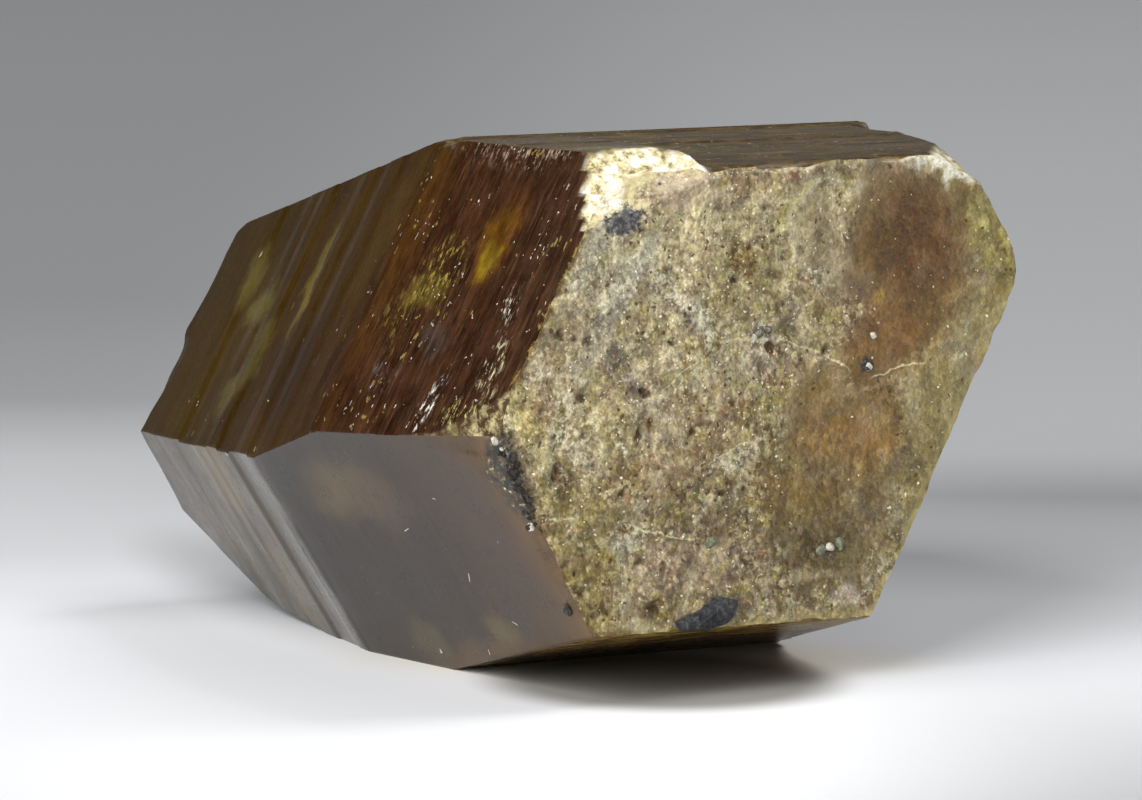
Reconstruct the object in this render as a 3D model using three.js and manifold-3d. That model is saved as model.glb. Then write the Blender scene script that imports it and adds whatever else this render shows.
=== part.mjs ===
// A parisite crystal that lies on its belly: a stubby six-sided barrel with a flat, etched end face.
// Millimetres, +Z up. The etched end face looks towards -Y and the broken rear end towards +Y.
// The crystal is one solid. It is built upright in its own frame, with the end face near z = 0,
// the length running down to negative z, and the top side towards +Y, and is then laid down.
import * as THREE from "three";
import { mergeVertices } from "three/addons/utils/BufferGeometryUtils.js";
import Module from "manifold-3d";

const wasm = await Module();
wasm.setup();

// Sizes of the whole crystal
const LENGTH = 16.8; // end face to rear break, along the long axis
const FRONT_TAPER = -9; // degrees; a negative taper widens away from the end face
const BELLY_TAPER = 6.8; // degrees; also the angle at which the long axis rises off the table
const SPARE = 2; // extra length at both ends, cut away by the end shapes
const BELLY_WEAR = 0.012; // how far the belly is worn flat, to one face

// The six sides, in turn order. A side is the innermost of its flats at each depth below the
// end face, so two neighbouring flats meet in a kink. Relief is how far its growth ledges step in.
const SIDES = [
  {
    name: "upper right",
    turn: 30,
    relief: 0.12,
    flats: [
      { depth: 0, distance: 7.5, taper: FRONT_TAPER },
      { depth: 5.6, distance: 8.39, taper: 9 },
    ],
  },
  {
    name: "top",
    turn: 90,
    relief: 0.1,
    flats: [
      { depth: 0, distance: 4.9, taper: FRONT_TAPER },
      { depth: 5.8, distance: 5.82, taper: 9.4 },
    ],
  },
  {
    name: "upper left",
    turn: 150,
    relief: 0.14,
    flats: [
      { depth: 0, distance: 5.95, taper: -10.4 },
      { depth: 5.7, distance: 7, taper: 3.2 },
    ],
  },
  {
    name: "lower left",
    turn: 210,
    relief: 0.05,
    flats: [
      { depth: 0, distance: 6.85, taper: FRONT_TAPER },
      { depth: 8.7, distance: 8.23, taper: 6.2 },
    ],
  },
  {
    name: "belly",
    turn: 270,
    relief: 0,
    flats: [
      { depth: 0, distance: 5.55, taper: FRONT_TAPER },
      { depth: 5.8, distance: 6.48, taper: BELLY_TAPER },
      { depth: 11.4, distance: 5.81, taper: 12.4 },
      { depth: 14.6, distance: 5.1, taper: 37 },
    ],
  },
  {
    name: "lower right",
    turn: 330,
    relief: 0.12,
    flats: [
      { depth: 0, distance: 5.3, taper: FRONT_TAPER },
      { depth: 6.5, distance: 6.33, taper: 9 },
    ],
  },
];
const SIDE_STEP = 60; // degrees between neighbouring sides

// Growth ledges that ring the sides
const LEDGE_GAP = 0.42; // smallest height of one growth layer
const LEDGE_SPREAD = 1.5; // how much taller the tallest layer is
const LEDGE_SKEW = 2.2; // how rare the deep ledges are
const LEDGE_RUN = 0.05; // height over which one ledge steps

// The end face: its tilt, its shallow terraces, grain and pits
const END_SLOPE_X = -0.098; // mm of height per mm
const END_SLOPE_Y = 0.068;
const END_CELL = 0.34; // size of one facet of the grain
const END_TERRACES = [
  { x: -0.8, y: -4.6, radius: 5.6, step: 0.18 },
  { x: 2.9, y: 2.2, radius: 2.5, step: -0.14 },
  { x: 0, y: 3.2, radius: 1.9, step: 0.1 },
  { x: -7.4, y: 3.6, radius: 5.6, step: -0.12 },
  { x: 6.4, y: -3.2, radius: 3.6, step: 0.12 },
];
const END_GRAIN = { height: 0.1, coarse: 0.6, fine: 0.32 }; // height, and widths of its lumps
const END_PITS = { count: 40, left: -6.4, right: 6.2, low: -5, high: 4.2, radius: 0.36, depth: 0.2 };
const PIT_CROWDING = 1.35; // above 1, pits crowd towards the left
const FINE_SHARE = 0.6; // height of the fine lumps beside the coarse ones

// The rear end: a rougher break with two steps up and one down
const REAR_SLOPE_Y = 0.18;
const REAR_CELL = 0.52;
const REAR_TERRACES = [
  { x: -3.4, y: 1.2, radius: 3.4, step: -0.45 },
  { x: 4.6, y: -0.6, radius: 3.8, step: 0.5 },
  { x: 0.8, y: 3.4, radius: 2.2, step: 0.3 },
];
const REAR_GRAIN = { height: 0.5, coarse: 1.7, fine: 0.67 };
const CUTTER_REACH = 11; // half the width of the blocks that shape the two ends
const CUTTER_THICKNESS = 6;

// Corners that broke off: each is a flat through one point, with the direction that it faces
const CORNER_CHIPS = [
  { name: "upper left corner", at: [-4.66, 3.6, 0.6], facing: [-0.13, 0.58, 0.8] },
  { name: "upper right corner", at: [4.9, 4.9, -0.15], facing: [0.45, 0.78, 0.43] },
  { name: "left corner", at: [-6.75, -0.9, 0.6], facing: [-0.89, 0.05, 0.45] },
  { name: "lower right corner", at: [3.31, -5.16, -0.68], facing: [0.73, -0.66, 0.2] },
];

// Small bites out of the edges, each a squashed round hollow
const EDGE_BITES = [
  { at: [-4.35, 5.75, -2.4], radius: 0.6 },
  { at: [-4.55, 6.05, -4.1], radius: 0.75 },
  { at: [-4.7, 6.15, -5.7], radius: 0.85 },
  { at: [-7.95, -1.0, -1.9], radius: 0.45 },
  { at: [7.35, 1.75, -0.55], radius: 0.4 },
  { at: [-4.75, -5.85, 0.35], radius: 0.45 },
  { at: [6.2, 5.75, -4.6], radius: 0.8 },
  { at: [8.45, 1.7, -8.6], radius: 0.9 },
];
const BITE_SQUASH = 0.7;

// Grains of another mineral that stand a little proud of the surface they grew in
const GRAINS = [
  { name: "dark grain at the lower edge", at: [-1.72, -5.36, -0.36], size: [0.92, 0.36, 0.46], lean: 9 },
  { name: "round grain beside the left edge", at: [-4.98, -4.86, -0.08], size: [0.22, 0.24, 0.24], lean: 0 },
  { name: "round grain in the right half", at: [2.98, 0.14, -0.3], size: [0.22, 0.22, 0.2], lean: 0 },
];

// A repeatable number from 0 to 1 for a pair of whole numbers
function scatter(i, j) {
  const wave = Math.sin(i * 127.1 + j * 311.7 + 41.3) * 43758.5453;
  return wave - Math.floor(wave);
}

function smooth(t) {
  const clamped = Math.min(1, Math.max(0, t));
  return clamped * clamped * (3 - 2 * clamped);
}

// Soft noise from 0 to 1 with lumps one unit wide
function lumps(x, y, layer) {
  const i = Math.floor(x);
  const j = Math.floor(y);
  const u = smooth(x - i);
  const v = smooth(y - j);
  const shift = layer * 57;
  const low = THREE.MathUtils.lerp(scatter(i + shift, j), scatter(i + 1 + shift, j), u);
  const high = THREE.MathUtils.lerp(scatter(i + shift, j + 1), scatter(i + 1 + shift, j + 1), u);
  return THREE.MathUtils.lerp(low, high, v);
}

function solidFrom(geometry) {
  const bare = new THREE.BufferGeometry();
  bare.setAttribute("position", geometry.getAttribute("position").clone());
  bare.setIndex(geometry.index);
  const merged = mergeVertices(bare, 1e-4);
  return new wasm.Manifold(
    new wasm.Mesh({
      numProp: 3,
      vertProperties: merged.attributes.position.array,
      triVerts: new Uint32Array(merged.index.array),
    }),
  );
}

function geometryFrom(solid) {
  const mesh = solid.getMesh();
  const geometry = new THREE.BufferGeometry();
  geometry.setAttribute("position", new THREE.BufferAttribute(mesh.vertProperties, 3));
  geometry.setIndex(new THREE.BufferAttribute(mesh.triVerts, 1));
  const flatShaded = geometry.toNonIndexed();
  flatShaded.computeVertexNormals();
  return flatShaded;
}

// Depths at which one growth layer ends and the next begins, with every kink among them
function layerDepths() {
  const depths = new Set();
  for (const side of SIDES) {
    for (const flat of side.flats) {
      if (flat.depth > 0) depths.add(flat.depth);
    }
  }
  let depth = LEDGE_GAP;
  for (let k = 0; depth < LENGTH; k += 1) {
    const nearest = Math.min(...[...depths].map((other) => Math.abs(other - depth)));
    if (nearest > LEDGE_GAP / 2) depths.add(depth);
    depth += LEDGE_GAP + LEDGE_SPREAD * Math.pow(scatter(k, 3), LEDGE_SKEW);
  }
  return [...depths].sort((a, b) => a - b);
}

const LAYERS = layerDepths();
const RING_DEPTHS = [-SPARE, ...LAYERS.flatMap((depth) => [depth - LEDGE_RUN, depth]), LENGTH + SPARE];

// Distance of a side from the long axis at one depth, with its ledges
function sideDistance(sideIndex, depth) {
  const side = SIDES[sideIndex];
  const reaches = side.flats.map(
    (flat) => flat.distance - (depth - flat.depth) * Math.tan(THREE.MathUtils.degToRad(flat.taper)),
  );
  const layer = LAYERS.filter((start) => start <= depth).length;
  return Math.min(...reaches) - side.relief * Math.pow(scatter(layer, sideIndex * 7 + 1), LEDGE_SKEW);
}

// The corner between a side and the next one round, at one depth
function cornerAt(sideIndex, depth) {
  const next = (sideIndex + 1) % SIDES.length;
  const here = sideDistance(sideIndex, depth);
  const there = sideDistance(next, depth);
  const turn = THREE.MathUtils.degToRad(SIDES[sideIndex].turn);
  const step = THREE.MathUtils.degToRad(SIDE_STEP);
  const along = (there - here * Math.cos(step)) / Math.sin(step);
  return new THREE.Vector2(
    here * Math.cos(turn) - along * Math.sin(turn),
    here * Math.sin(turn) + along * Math.cos(turn),
  );
}

// The barrel: a six-sided cylinder whose rings take the corners of the crystal at their depth
function barrel() {
  const rings = RING_DEPTHS.length - 1;
  const firstCorner = THREE.MathUtils.degToRad(90 + SIDES[0].turn + SIDE_STEP / 2);
  const geometry = new THREE.CylinderGeometry(1, 1, rings, SIDES.length, rings, false, firstCorner);
  geometry.rotateX(Math.PI / 2);
  const position = geometry.getAttribute("position");
  for (let i = 0; i < position.count; i += 1) {
    const x = position.getX(i);
    const y = position.getY(i);
    const depth = RING_DEPTHS[Math.round(rings / 2 - position.getZ(i))];
    let corner = new THREE.Vector2(0, 0);
    if (Math.hypot(x, y) > 0.5) {
      const turn = THREE.MathUtils.radToDeg(Math.atan2(y, x)) - SIDES[0].turn - SIDE_STEP / 2;
      const index = Math.round(turn / SIDE_STEP + SIDES.length) % SIDES.length;
      corner = cornerAt(index, depth);
    }
    position.setXYZ(i, corner.x, corner.y, -depth);
  }
  return solidFrom(geometry);
}

function terraceHeight(terraces, x, y, edge) {
  return terraces.reduce((sum, terrace) => {
    const inside = terrace.radius - Math.hypot(x - terrace.x, y - terrace.y);
    return sum + terrace.step * smooth(inside / edge + 0.5);
  }, 0);
}

// Coarse and fine lumps together, above and below zero
function grainHeight(grain, x, y, layer) {
  const coarse = lumps(x / grain.coarse, y / grain.coarse, layer) - 0.5;
  const fine = lumps(x / grain.fine, y / grain.fine, layer + 1) - 0.5;
  return grain.height * (coarse + FINE_SHARE * fine);
}

function endHeight(x, y) {
  const slope = END_SLOPE_X * x + END_SLOPE_Y * y;
  return slope + terraceHeight(END_TERRACES, x, y, END_CELL) + grainHeight(END_GRAIN, x, y, 0);
}

function rearHeight(x, y) {
  const slope = REAR_SLOPE_Y * y - LENGTH;
  return slope + terraceHeight(REAR_TERRACES, x, y, REAR_CELL) + grainHeight(REAR_GRAIN, x, y, 2);
}

// A block whose near face follows a height, to cut one end of the barrel with
function endCutter(heightAt, cell, sign) {
  const width = 2 * CUTTER_REACH;
  const cells = Math.round(width / cell);
  const geometry = new THREE.BoxGeometry(width, width, 1, cells, cells, 1);
  const position = geometry.getAttribute("position");
  const farSide = sign * (LENGTH + CUTTER_THICKNESS);
  for (let i = 0; i < position.count; i += 1) {
    const near = position.getZ(i) * sign < 0;
    position.setZ(i, near ? heightAt(position.getX(i), position.getY(i)) : farSide);
  }
  return solidFrom(geometry);
}

// One etch pit of half to full size: a shallow many-sided hollow in the end face
function etchPit(index) {
  const x = THREE.MathUtils.lerp(END_PITS.left, END_PITS.right, Math.pow(scatter(index, 11), PIT_CROWDING));
  const y = THREE.MathUtils.lerp(END_PITS.low, END_PITS.high, scatter(index, 12));
  const share = 0.5 + 0.5 * scatter(index, 13);
  const geometry = new THREE.DodecahedronGeometry(END_PITS.radius * share);
  geometry.rotateX(scatter(index, 14) * Math.PI);
  geometry.rotateZ(scatter(index, 15) * Math.PI);
  geometry.scale(1, 1, END_PITS.depth / END_PITS.radius);
  geometry.translate(x, y, endHeight(x, y));
  return solidFrom(geometry);
}

function edgeBite(bite, index) {
  const geometry = new THREE.IcosahedronGeometry(bite.radius, 1);
  geometry.scale(1, 1, BITE_SQUASH);
  geometry.rotateX(scatter(index, 21) * Math.PI);
  geometry.rotateY(scatter(index, 22) * Math.PI);
  geometry.translate(...bite.at);
  return solidFrom(geometry);
}

function mineralGrain(grain) {
  const geometry = new THREE.IcosahedronGeometry(1, 2);
  geometry.scale(...grain.size);
  geometry.rotateZ(THREE.MathUtils.degToRad(grain.lean));
  geometry.translate(...grain.at);
  return solidFrom(geometry);
}

// How far the worn belly lies below the point where the long axis meets the end face
function bellyDrop() {
  const flat = SIDES.find((side) => side.name === "belly").flats[1];
  const rise = THREE.MathUtils.degToRad(BELLY_TAPER);
  return (flat.distance + flat.depth * Math.tan(rise)) * Math.cos(rise) - BELLY_WEAR;
}

function crystalSolid() {
  const rise = THREE.MathUtils.degToRad(BELLY_TAPER);
  let solid = barrel().trimByPlane([0, Math.cos(rise), Math.sin(rise)], -bellyDrop());
  solid = solid.subtract(endCutter(endHeight, END_CELL, 1));
  solid = solid.subtract(endCutter(rearHeight, REAR_CELL, -1));
  for (const chip of CORNER_CHIPS) {
    const facing = new THREE.Vector3(...chip.facing).normalize();
    const offset = facing.dot(new THREE.Vector3(...chip.at));
    solid = solid.trimByPlane([-facing.x, -facing.y, -facing.z], -offset);
  }
  for (let k = 0; k < END_PITS.count; k += 1) solid = solid.subtract(etchPit(k));
  EDGE_BITES.forEach((bite, index) => {
    solid = solid.subtract(edgeBite(bite, index));
  });
  for (const grain of GRAINS) solid = solid.add(mineralGrain(grain));
  return solid;
}

// Laid down: the belly flat comes level, goes to z = 0, and the footprint is centred
function layDown(geometry) {
  geometry.rotateX(Math.PI / 2 - THREE.MathUtils.degToRad(BELLY_TAPER));
  geometry.computeBoundingBox();
  const { min, max } = geometry.boundingBox;
  geometry.translate(-(min.x + max.x) / 2, -(min.y + max.y) / 2, bellyDrop());
  return geometry;
}

const crystal = new THREE.Mesh(
  layDown(geometryFrom(crystalSolid())),
  new THREE.MeshStandardMaterial({ color: 0x7a5c38, roughness: 0.5, metalness: 0 }),
);
crystal.name = "crystal";

const parisite = new THREE.Group();
parisite.add(crystal);

export default parisite;
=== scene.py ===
"""Parisite crystal, lying on its belly facet with the etched end face towards the camera."""
import math

import bmesh
import bpy
import numpy as np
from mathutils import Matrix, Vector


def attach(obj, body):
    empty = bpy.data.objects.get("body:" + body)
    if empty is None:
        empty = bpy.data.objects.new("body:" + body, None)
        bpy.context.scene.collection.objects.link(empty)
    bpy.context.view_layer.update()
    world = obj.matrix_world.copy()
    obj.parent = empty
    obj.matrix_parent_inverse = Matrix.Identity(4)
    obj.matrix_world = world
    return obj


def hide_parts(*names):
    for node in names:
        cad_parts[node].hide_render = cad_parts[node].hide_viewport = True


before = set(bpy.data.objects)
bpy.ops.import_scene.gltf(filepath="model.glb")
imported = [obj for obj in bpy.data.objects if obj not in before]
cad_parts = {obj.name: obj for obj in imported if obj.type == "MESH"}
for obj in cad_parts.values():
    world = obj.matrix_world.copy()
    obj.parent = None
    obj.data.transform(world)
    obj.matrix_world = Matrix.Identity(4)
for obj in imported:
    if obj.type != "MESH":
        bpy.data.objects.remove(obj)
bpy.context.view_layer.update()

# Camera
# A long lens a hand's width away, a little above the crystal, looking at its etched end and left sides.
SENSOR_WIDTH = 36.0
LENS = 189.1
CAMERA_PLACE = Vector((-0.06678, -0.12501, 0.02508))
CAMERA_AZIMUTH = math.radians(-27.99)
CAMERA_ELEVATION = math.radians(7.83)
CAMERA_ROLL = math.radians(0.53)

camera_data = bpy.data.cameras.new("camera")
camera_data.sensor_width = SENSOR_WIDTH
camera_data.lens = LENS
camera_data.clip_start = 0.005
camera_data.clip_end = 20.0
camera = bpy.data.objects.new("camera", camera_data)
bpy.context.collection.objects.link(camera)
camera.matrix_world = (
    Matrix.Translation(CAMERA_PLACE)
    @ Matrix.Rotation(CAMERA_AZIMUTH, 4, "Z")
    @ Matrix.Rotation(math.pi / 2 - CAMERA_ELEVATION, 4, "X")
    @ Matrix.Rotation(CAMERA_ROLL, 4, "Z")
)
bpy.context.scene.camera = camera
bpy.context.scene.view_settings.view_transform = "Standard"

# Crystal
# The real piece is one grown crystal of a translucent brown mineral: a stubby six-sided barrel with an
# etched end face, ledges round its sides, and broken corners and rear. Its own frame is in millimetres:
# the end face near z = 0, the length running down to negative z, and the top side towards +y.
MM = 0.001
LENGTH = 16.8
AXIS_RISE = math.radians(6.8)  # the long axis rises off the table towards the end face
FOOTPRINT_CENTRE = (-0.1428, 8.24027)
BELLY_DROP = 7.10916

# Each side: the direction it faces, how far its ledges step in, and its flats by the depth below
# the end face at which each lies at that distance from the long axis, with the flat's taper.
SIDES = [
    {"name": "upper right", "turn": 30, "relief": 0.06, "flats": [(0, 7.5, -9), (5.6, 8.39, 9)]},
    {"name": "top", "turn": 90, "relief": 0.025, "flats": [(0, 4.9, -9), (5.8, 5.82, 9.4)]},
    {"name": "upper left", "turn": 150, "relief": 0.03, "flats": [(0, 5.95, -10.4), (5.7, 7.0, 3.2)]},
    {
        "name": "lower left",
        "turn": 210,
        "relief": 0.05,
        "calm_to": 8.2,
        "flats": [(0, 6.85, -9), (8.7, 8.23, 6.2)],
    },
    {
        "name": "belly",
        "turn": 270,
        "relief": 0.0,
        "flats": [(0, 5.55, -9), (5.8, 6.48, 6.8), (11.4, 5.81, 12.4), (14.6, 5.1, 37)],
    },
    {"name": "lower right", "turn": 330, "relief": 0.12, "flats": [(0, 5.3, -9), (6.5, 6.33, 9)]},
]
TOP_SIDE = 1
TOP_KINK = 5.8
OVERGROWTH_HEIGHT = 0.3
OVERGROWTH_STEP = (-1.35, 0.35)  # where its step lies across the top side, and how wide it is
LEDGE_GAP = 0.42  # the least gap between two ledges
LEDGE_SPREAD = 1.5
LEDGE_SKEW = 2.2  # how much commoner small gaps and steps are than large ones
LEDGE_RUN = 0.05

END_SLOPE = (-0.098, 0.068)  # how much the end face rises to the right and upwards
END_TERRACES = [
    # x, y, radius, step
    (-0.8, -4.6, 5.6, 0.08),
    (2.9, 2.2, 2.5, -0.06),
    (0.0, 3.2, 1.9, 0.05),
    (-7.4, 3.6, 5.6, -0.06),
    (6.4, -3.2, 3.6, 0.06),
]
END_GRAIN = (0.1, 0.6, 0.32)  # height, and widths of its coarse and fine lumps
END_STEP_RUN = 0.3
REAR_SLOPE = 0.18
REAR_TERRACES = [(-3.4, 1.2, 3.4, -0.45), (4.6, -0.6, 3.8, 0.5), (0.8, 3.4, 2.2, 0.3)]
REAR_GRAIN = (0.5, 1.7, 0.67)
REAR_STEP_RUN = 0.4
FINE_SHARE = 0.6

AROUND = 480  # columns of faces round the crystal, a sixth of them on each side
END_RINGS = 95
END_MIDDLE = (0.09, 0.95)
SIDE_RINGS = 93
REAR_RINGS = 20
END_BLEND = 2.6  # depth over which the rings turn from the end face's edge to level
REAR_BLEND = 2.4
EDGE_ROUNDS = 8  # how often the edges of the two ends are laid on the sides again, until they settle


def scatter(i, j):
    """A number from nought to one that looks random, and is the same each time for the same i and j."""
    wave = np.sin(i * 127.1 + j * 311.7 + 41.3) * 43758.5453
    return wave - np.floor(wave)


def smooth(t):
    """A smooth step from nought to one."""
    clamped = np.clip(t, 0, 1)
    return clamped * clamped * (3 - 2 * clamped)


def lumps(x, y, layer):
    """Soft lumps, one to each unit square, from nought to one."""
    i = np.floor(x)
    j = np.floor(y)
    u = smooth(x - i)
    v = smooth(y - j)
    shift = layer * 57
    low = scatter(i + shift, j) * (1 - u) + scatter(i + 1 + shift, j) * u
    high = scatter(i + shift, j + 1) * (1 - u) + scatter(i + 1 + shift, j + 1) * u
    return low * (1 - v) + high * v


def rough(x, y, width, layer):
    """Lumps of one width that rise and fall round nought."""
    return lumps(x / width, y / width, layer) - 0.5


def crumbs(x, y, layer):
    """Nearness to the middle of one of many jittered grains, nought on their borders, and its number."""
    i = np.floor(x)
    j = np.floor(y)
    nearest = np.full(x.shape, 9.0)
    second = np.full(x.shape, 9.0)
    number = np.zeros(x.shape)
    for di in (-1, 0, 1):
        for dj in (-1, 0, 1):
            px = i + di + scatter(i + di + layer * 31, j + dj)
            py = j + dj + scatter(i + di + layer * 31, j + dj + 400)
            gap = np.hypot(x - px, y - py)
            closer = gap < nearest
            second = np.where(closer, nearest, np.minimum(second, gap))
            nearest = np.where(closer, gap, nearest)
            number = np.where(closer, scatter(i + di + layer * 31, j + dj + 800), number)
    return smooth((second - nearest) / 0.7), number


def layer_depths():
    """How deep below the end face each ledge lies: at the kinks of the sides, and scattered between."""
    depths = sorted({flat[0] for side in SIDES for flat in side["flats"] if flat[0] > 0})
    depth = LEDGE_GAP
    k = 0
    while depth < LENGTH:
        if min(abs(other - depth) for other in depths) > LEDGE_GAP / 2:
            depths.append(depth)
        depth += LEDGE_GAP + LEDGE_SPREAD * float(scatter(k, 3)) ** LEDGE_SKEW
        k += 1
    return np.array(sorted(depths))


LAYERS = layer_depths()


def side_distance(index, depth):
    """How far one side lies from the long axis at a depth."""
    side = SIDES[index]
    reach = np.full(depth.shape, 99.0)
    for start, distance, taper in side["flats"]:
        reach = np.minimum(reach, distance - (depth - start) * math.tan(math.radians(taper)))
    layer = np.searchsorted(LAYERS, depth, side="right")
    shown = smooth((depth - side["calm_to"]) / 1.0) if "calm_to" in side else 1.0
    return reach - shown * side["relief"] * scatter(layer, index * 7 + 1) ** LEDGE_SKEW


def overgrowth(depth):
    """How much higher the left part of the top side stands, from the end face back to the kink."""
    return OVERGROWTH_HEIGHT * (1 - smooth(depth / TOP_KINK))


def corner_at(index, depth):
    """Where one side meets the next at a depth."""
    here = side_distance(index, depth)
    there = side_distance((index + 1) % 6, depth)
    if index == TOP_SIDE:
        here = here + overgrowth(depth)
    turn = math.radians(SIDES[index]["turn"])
    along = (there - here * math.cos(math.pi / 3)) / math.sin(math.pi / 3)
    return (
        here * math.cos(turn) - along * math.sin(turn),
        here * math.sin(turn) + along * math.cos(turn),
    )


def terrace_height(terraces, x, y, run):
    """The height of round ledges whose edges wander."""
    height = np.zeros(x.shape)
    wander = 0.5 * (lumps(x * 0.7, y * 0.7, 5) - 0.5) + 0.22 * (lumps(x * 2.1, y * 2.1, 6) - 0.5)
    for centre_x, centre_y, radius, step in terraces:
        inside = radius + wander - np.hypot(x - centre_x, y - centre_y)
        height += step * smooth(inside / run + 0.5)
    return height


def grain_height(grain, x, y, layer):
    height, coarse, fine = grain
    return height * (rough(x, y, coarse, layer) + FINE_SHARE * rough(x, y, fine, layer + 1))


def end_height(x, y):
    slope = END_SLOPE[0] * x + END_SLOPE[1] * y
    return slope + terrace_height(END_TERRACES, x, y, END_STEP_RUN) + grain_height(END_GRAIN, x, y, 0)


def rear_height(x, y):
    slope = REAR_SLOPE * y - LENGTH
    return slope + terrace_height(REAR_TERRACES, x, y, REAR_STEP_RUN) + grain_height(REAR_GRAIN, x, y, 2)


# A many-sided tube with fans at both ends, cut into rings that become the end face, sides and rear
total_rings = END_RINGS + SIDE_RINGS + REAR_RINGS
bm = bmesh.new()
bmesh.ops.create_cone(
    bm, cap_ends=True, cap_tris=True, segments=AROUND, radius1=1, radius2=1, depth=total_rings - 2
)
uprights = [edge for edge in bm.edges if abs(edge.verts[0].co.z - edge.verts[1].co.z) > 1]
bmesh.ops.subdivide_edges(bm, edges=uprights, cuts=total_rings - 3, use_grid_fill=True)
crystal_mesh = bpy.data.meshes.new("parisite_crystal")
bm.to_mesh(crystal_mesh)
bm.free()
tube = np.zeros(len(crystal_mesh.vertices) * 3)
crystal_mesh.vertices.foreach_get("co", tube)
tube = tube.reshape(-1, 3)

ring = np.rint(total_rings / 2 - tube[:, 2]).astype(int)
at_pole = np.hypot(tube[:, 0], tube[:, 1]) < 0.5
ring[at_pole & (tube[:, 2] > 0)] = 0
ring[at_pole & (tube[:, 2] < 0)] = total_rings
column = np.rint(np.arctan2(tube[:, 1], tube[:, 0]) / (2 * math.pi) * AROUND).astype(int) % AROUND

columns_per_side = AROUND // 6
side_of_column = np.arange(AROUND) // columns_per_side
share_of_column = (np.arange(AROUND) % columns_per_side) / columns_per_side


def outline_at(depth):
    """The point of every column on its side at that column's depth."""
    x = np.zeros(AROUND)
    y = np.zeros(AROUND)
    for index in range(6):
        here = side_of_column == index
        start_x, start_y = corner_at((index - 1) % 6, depth[here])
        stop_x, stop_y = corner_at(index, depth[here])
        share = share_of_column[here]
        if index == TOP_SIDE:
            stop_y = stop_y - overgrowth(depth[here])
            stop_x = stop_x + overgrowth(depth[here]) * math.tan(math.pi / 6)
        x[here] = start_x * (1 - share) + stop_x * share
        y[here] = start_y * (1 - share) + stop_y * share
        if index == TOP_SIDE:
            step_at, step_width = OVERGROWTH_STEP
            x[here] -= overgrowth(depth[here]) * math.tan(math.pi / 6) * share**6
            y[here] += overgrowth(depth[here]) * smooth((step_at - x[here]) / step_width)
    return x, y


end_depth = np.zeros(AROUND)
rear_depth = np.full(AROUND, LENGTH)
for _ in range(EDGE_ROUNDS):
    end_depth = -end_height(*outline_at(end_depth))
    rear_depth = -rear_height(*outline_at(rear_depth))
end_x, end_y = outline_at(end_depth)
rear_x, rear_y = outline_at(rear_depth)

# Ring depths: two close rings at every ledge, the others spread evenly between them
ledge_rings = np.concatenate([LAYERS - LEDGE_RUN, LAYERS])
ledge_rings = ledge_rings[(ledge_rings > 2 * LEDGE_RUN) & (ledge_rings < LENGTH - 2 * LEDGE_RUN)]
spare_rings = SIDE_RINGS - 1 - len(ledge_rings)
ring_depths = [0.0, *sorted(ledge_rings), LENGTH]
for _ in range(spare_rings):
    gaps = np.diff(ring_depths)
    widest = int(np.argmax(gaps))
    ring_depths.insert(widest + 1, ring_depths[widest] + gaps[widest] / 2)
ring_depths = np.array(ring_depths)

place = np.zeros(tube.shape)
on_end = ring <= END_RINGS
share = ring[on_end] / END_RINGS
place[on_end, 0] = END_MIDDLE[0] + (end_x[column[on_end]] - END_MIDDLE[0]) * share
place[on_end, 1] = END_MIDDLE[1] + (end_y[column[on_end]] - END_MIDDLE[1]) * share
place[on_end, 2] = end_height(place[on_end, 0], place[on_end, 1])

on_rear = ring >= END_RINGS + SIDE_RINGS
share = (total_rings - ring[on_rear]) / REAR_RINGS
place[on_rear, 0] = rear_x[column[on_rear]] * share
place[on_rear, 1] = rear_y[column[on_rear]] * share
place[on_rear, 2] = rear_height(place[on_rear, 0], place[on_rear, 1])

on_side = ~on_end & ~on_rear
for step in range(1, SIDE_RINGS):
    level = ring_depths[step]
    depth = np.full(AROUND, level)
    if level < END_BLEND:
        depth = end_depth + (END_BLEND - end_depth) * level / END_BLEND
    if level > LENGTH - REAR_BLEND:
        to_rear = (level - (LENGTH - REAR_BLEND)) / REAR_BLEND
        depth = (LENGTH - REAR_BLEND) + (rear_depth - (LENGTH - REAR_BLEND)) * to_rear
    x, y = outline_at(depth)
    here = ring == END_RINGS + step
    place[here, 0] = x[column[here]]
    place[here, 1] = y[column[here]]
    place[here, 2] = -depth[column[here]]

# Surface relief: crumbled etch grain on the end face, which ends just outside its edge
ETCH_STOPS = (1.02, 0.04)  # at which share of the way to the edge, and over how wide a share it fades
SMOOTH_ZONES = [
    # centre, half size, how smooth: the clear windows, and where the etching is shallow
    ((4.2, 2.6), (1.75, 2.4), 0.85),
    ((3.5, 0.6), (1.3, 0.8), 0.85),
    ((2.5, -0.9), (1.6, 1.2), 0.7),
    ((2.0, -2.8), (2.1, 1.7), 0.62),
    ((1.65, 3.3), (0.8, 1.2), 0.4),
    ((-1.95, 4.4), (0.95, 0.5), 0.6),
]
SMOOTH_RIGHT = (2.6, 2.4, 0.6)  # where the smoother right part starts, how wide it fades, how smooth
COARSE_CRUMB = 0.42
FINE_CRUMB = 0.21
CRUMB_HEIGHT = 0.04
COARSE_SWELL = (0.05, 0.9)  # height and width
FINE_SWELL = (0.03, 0.28)

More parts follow.
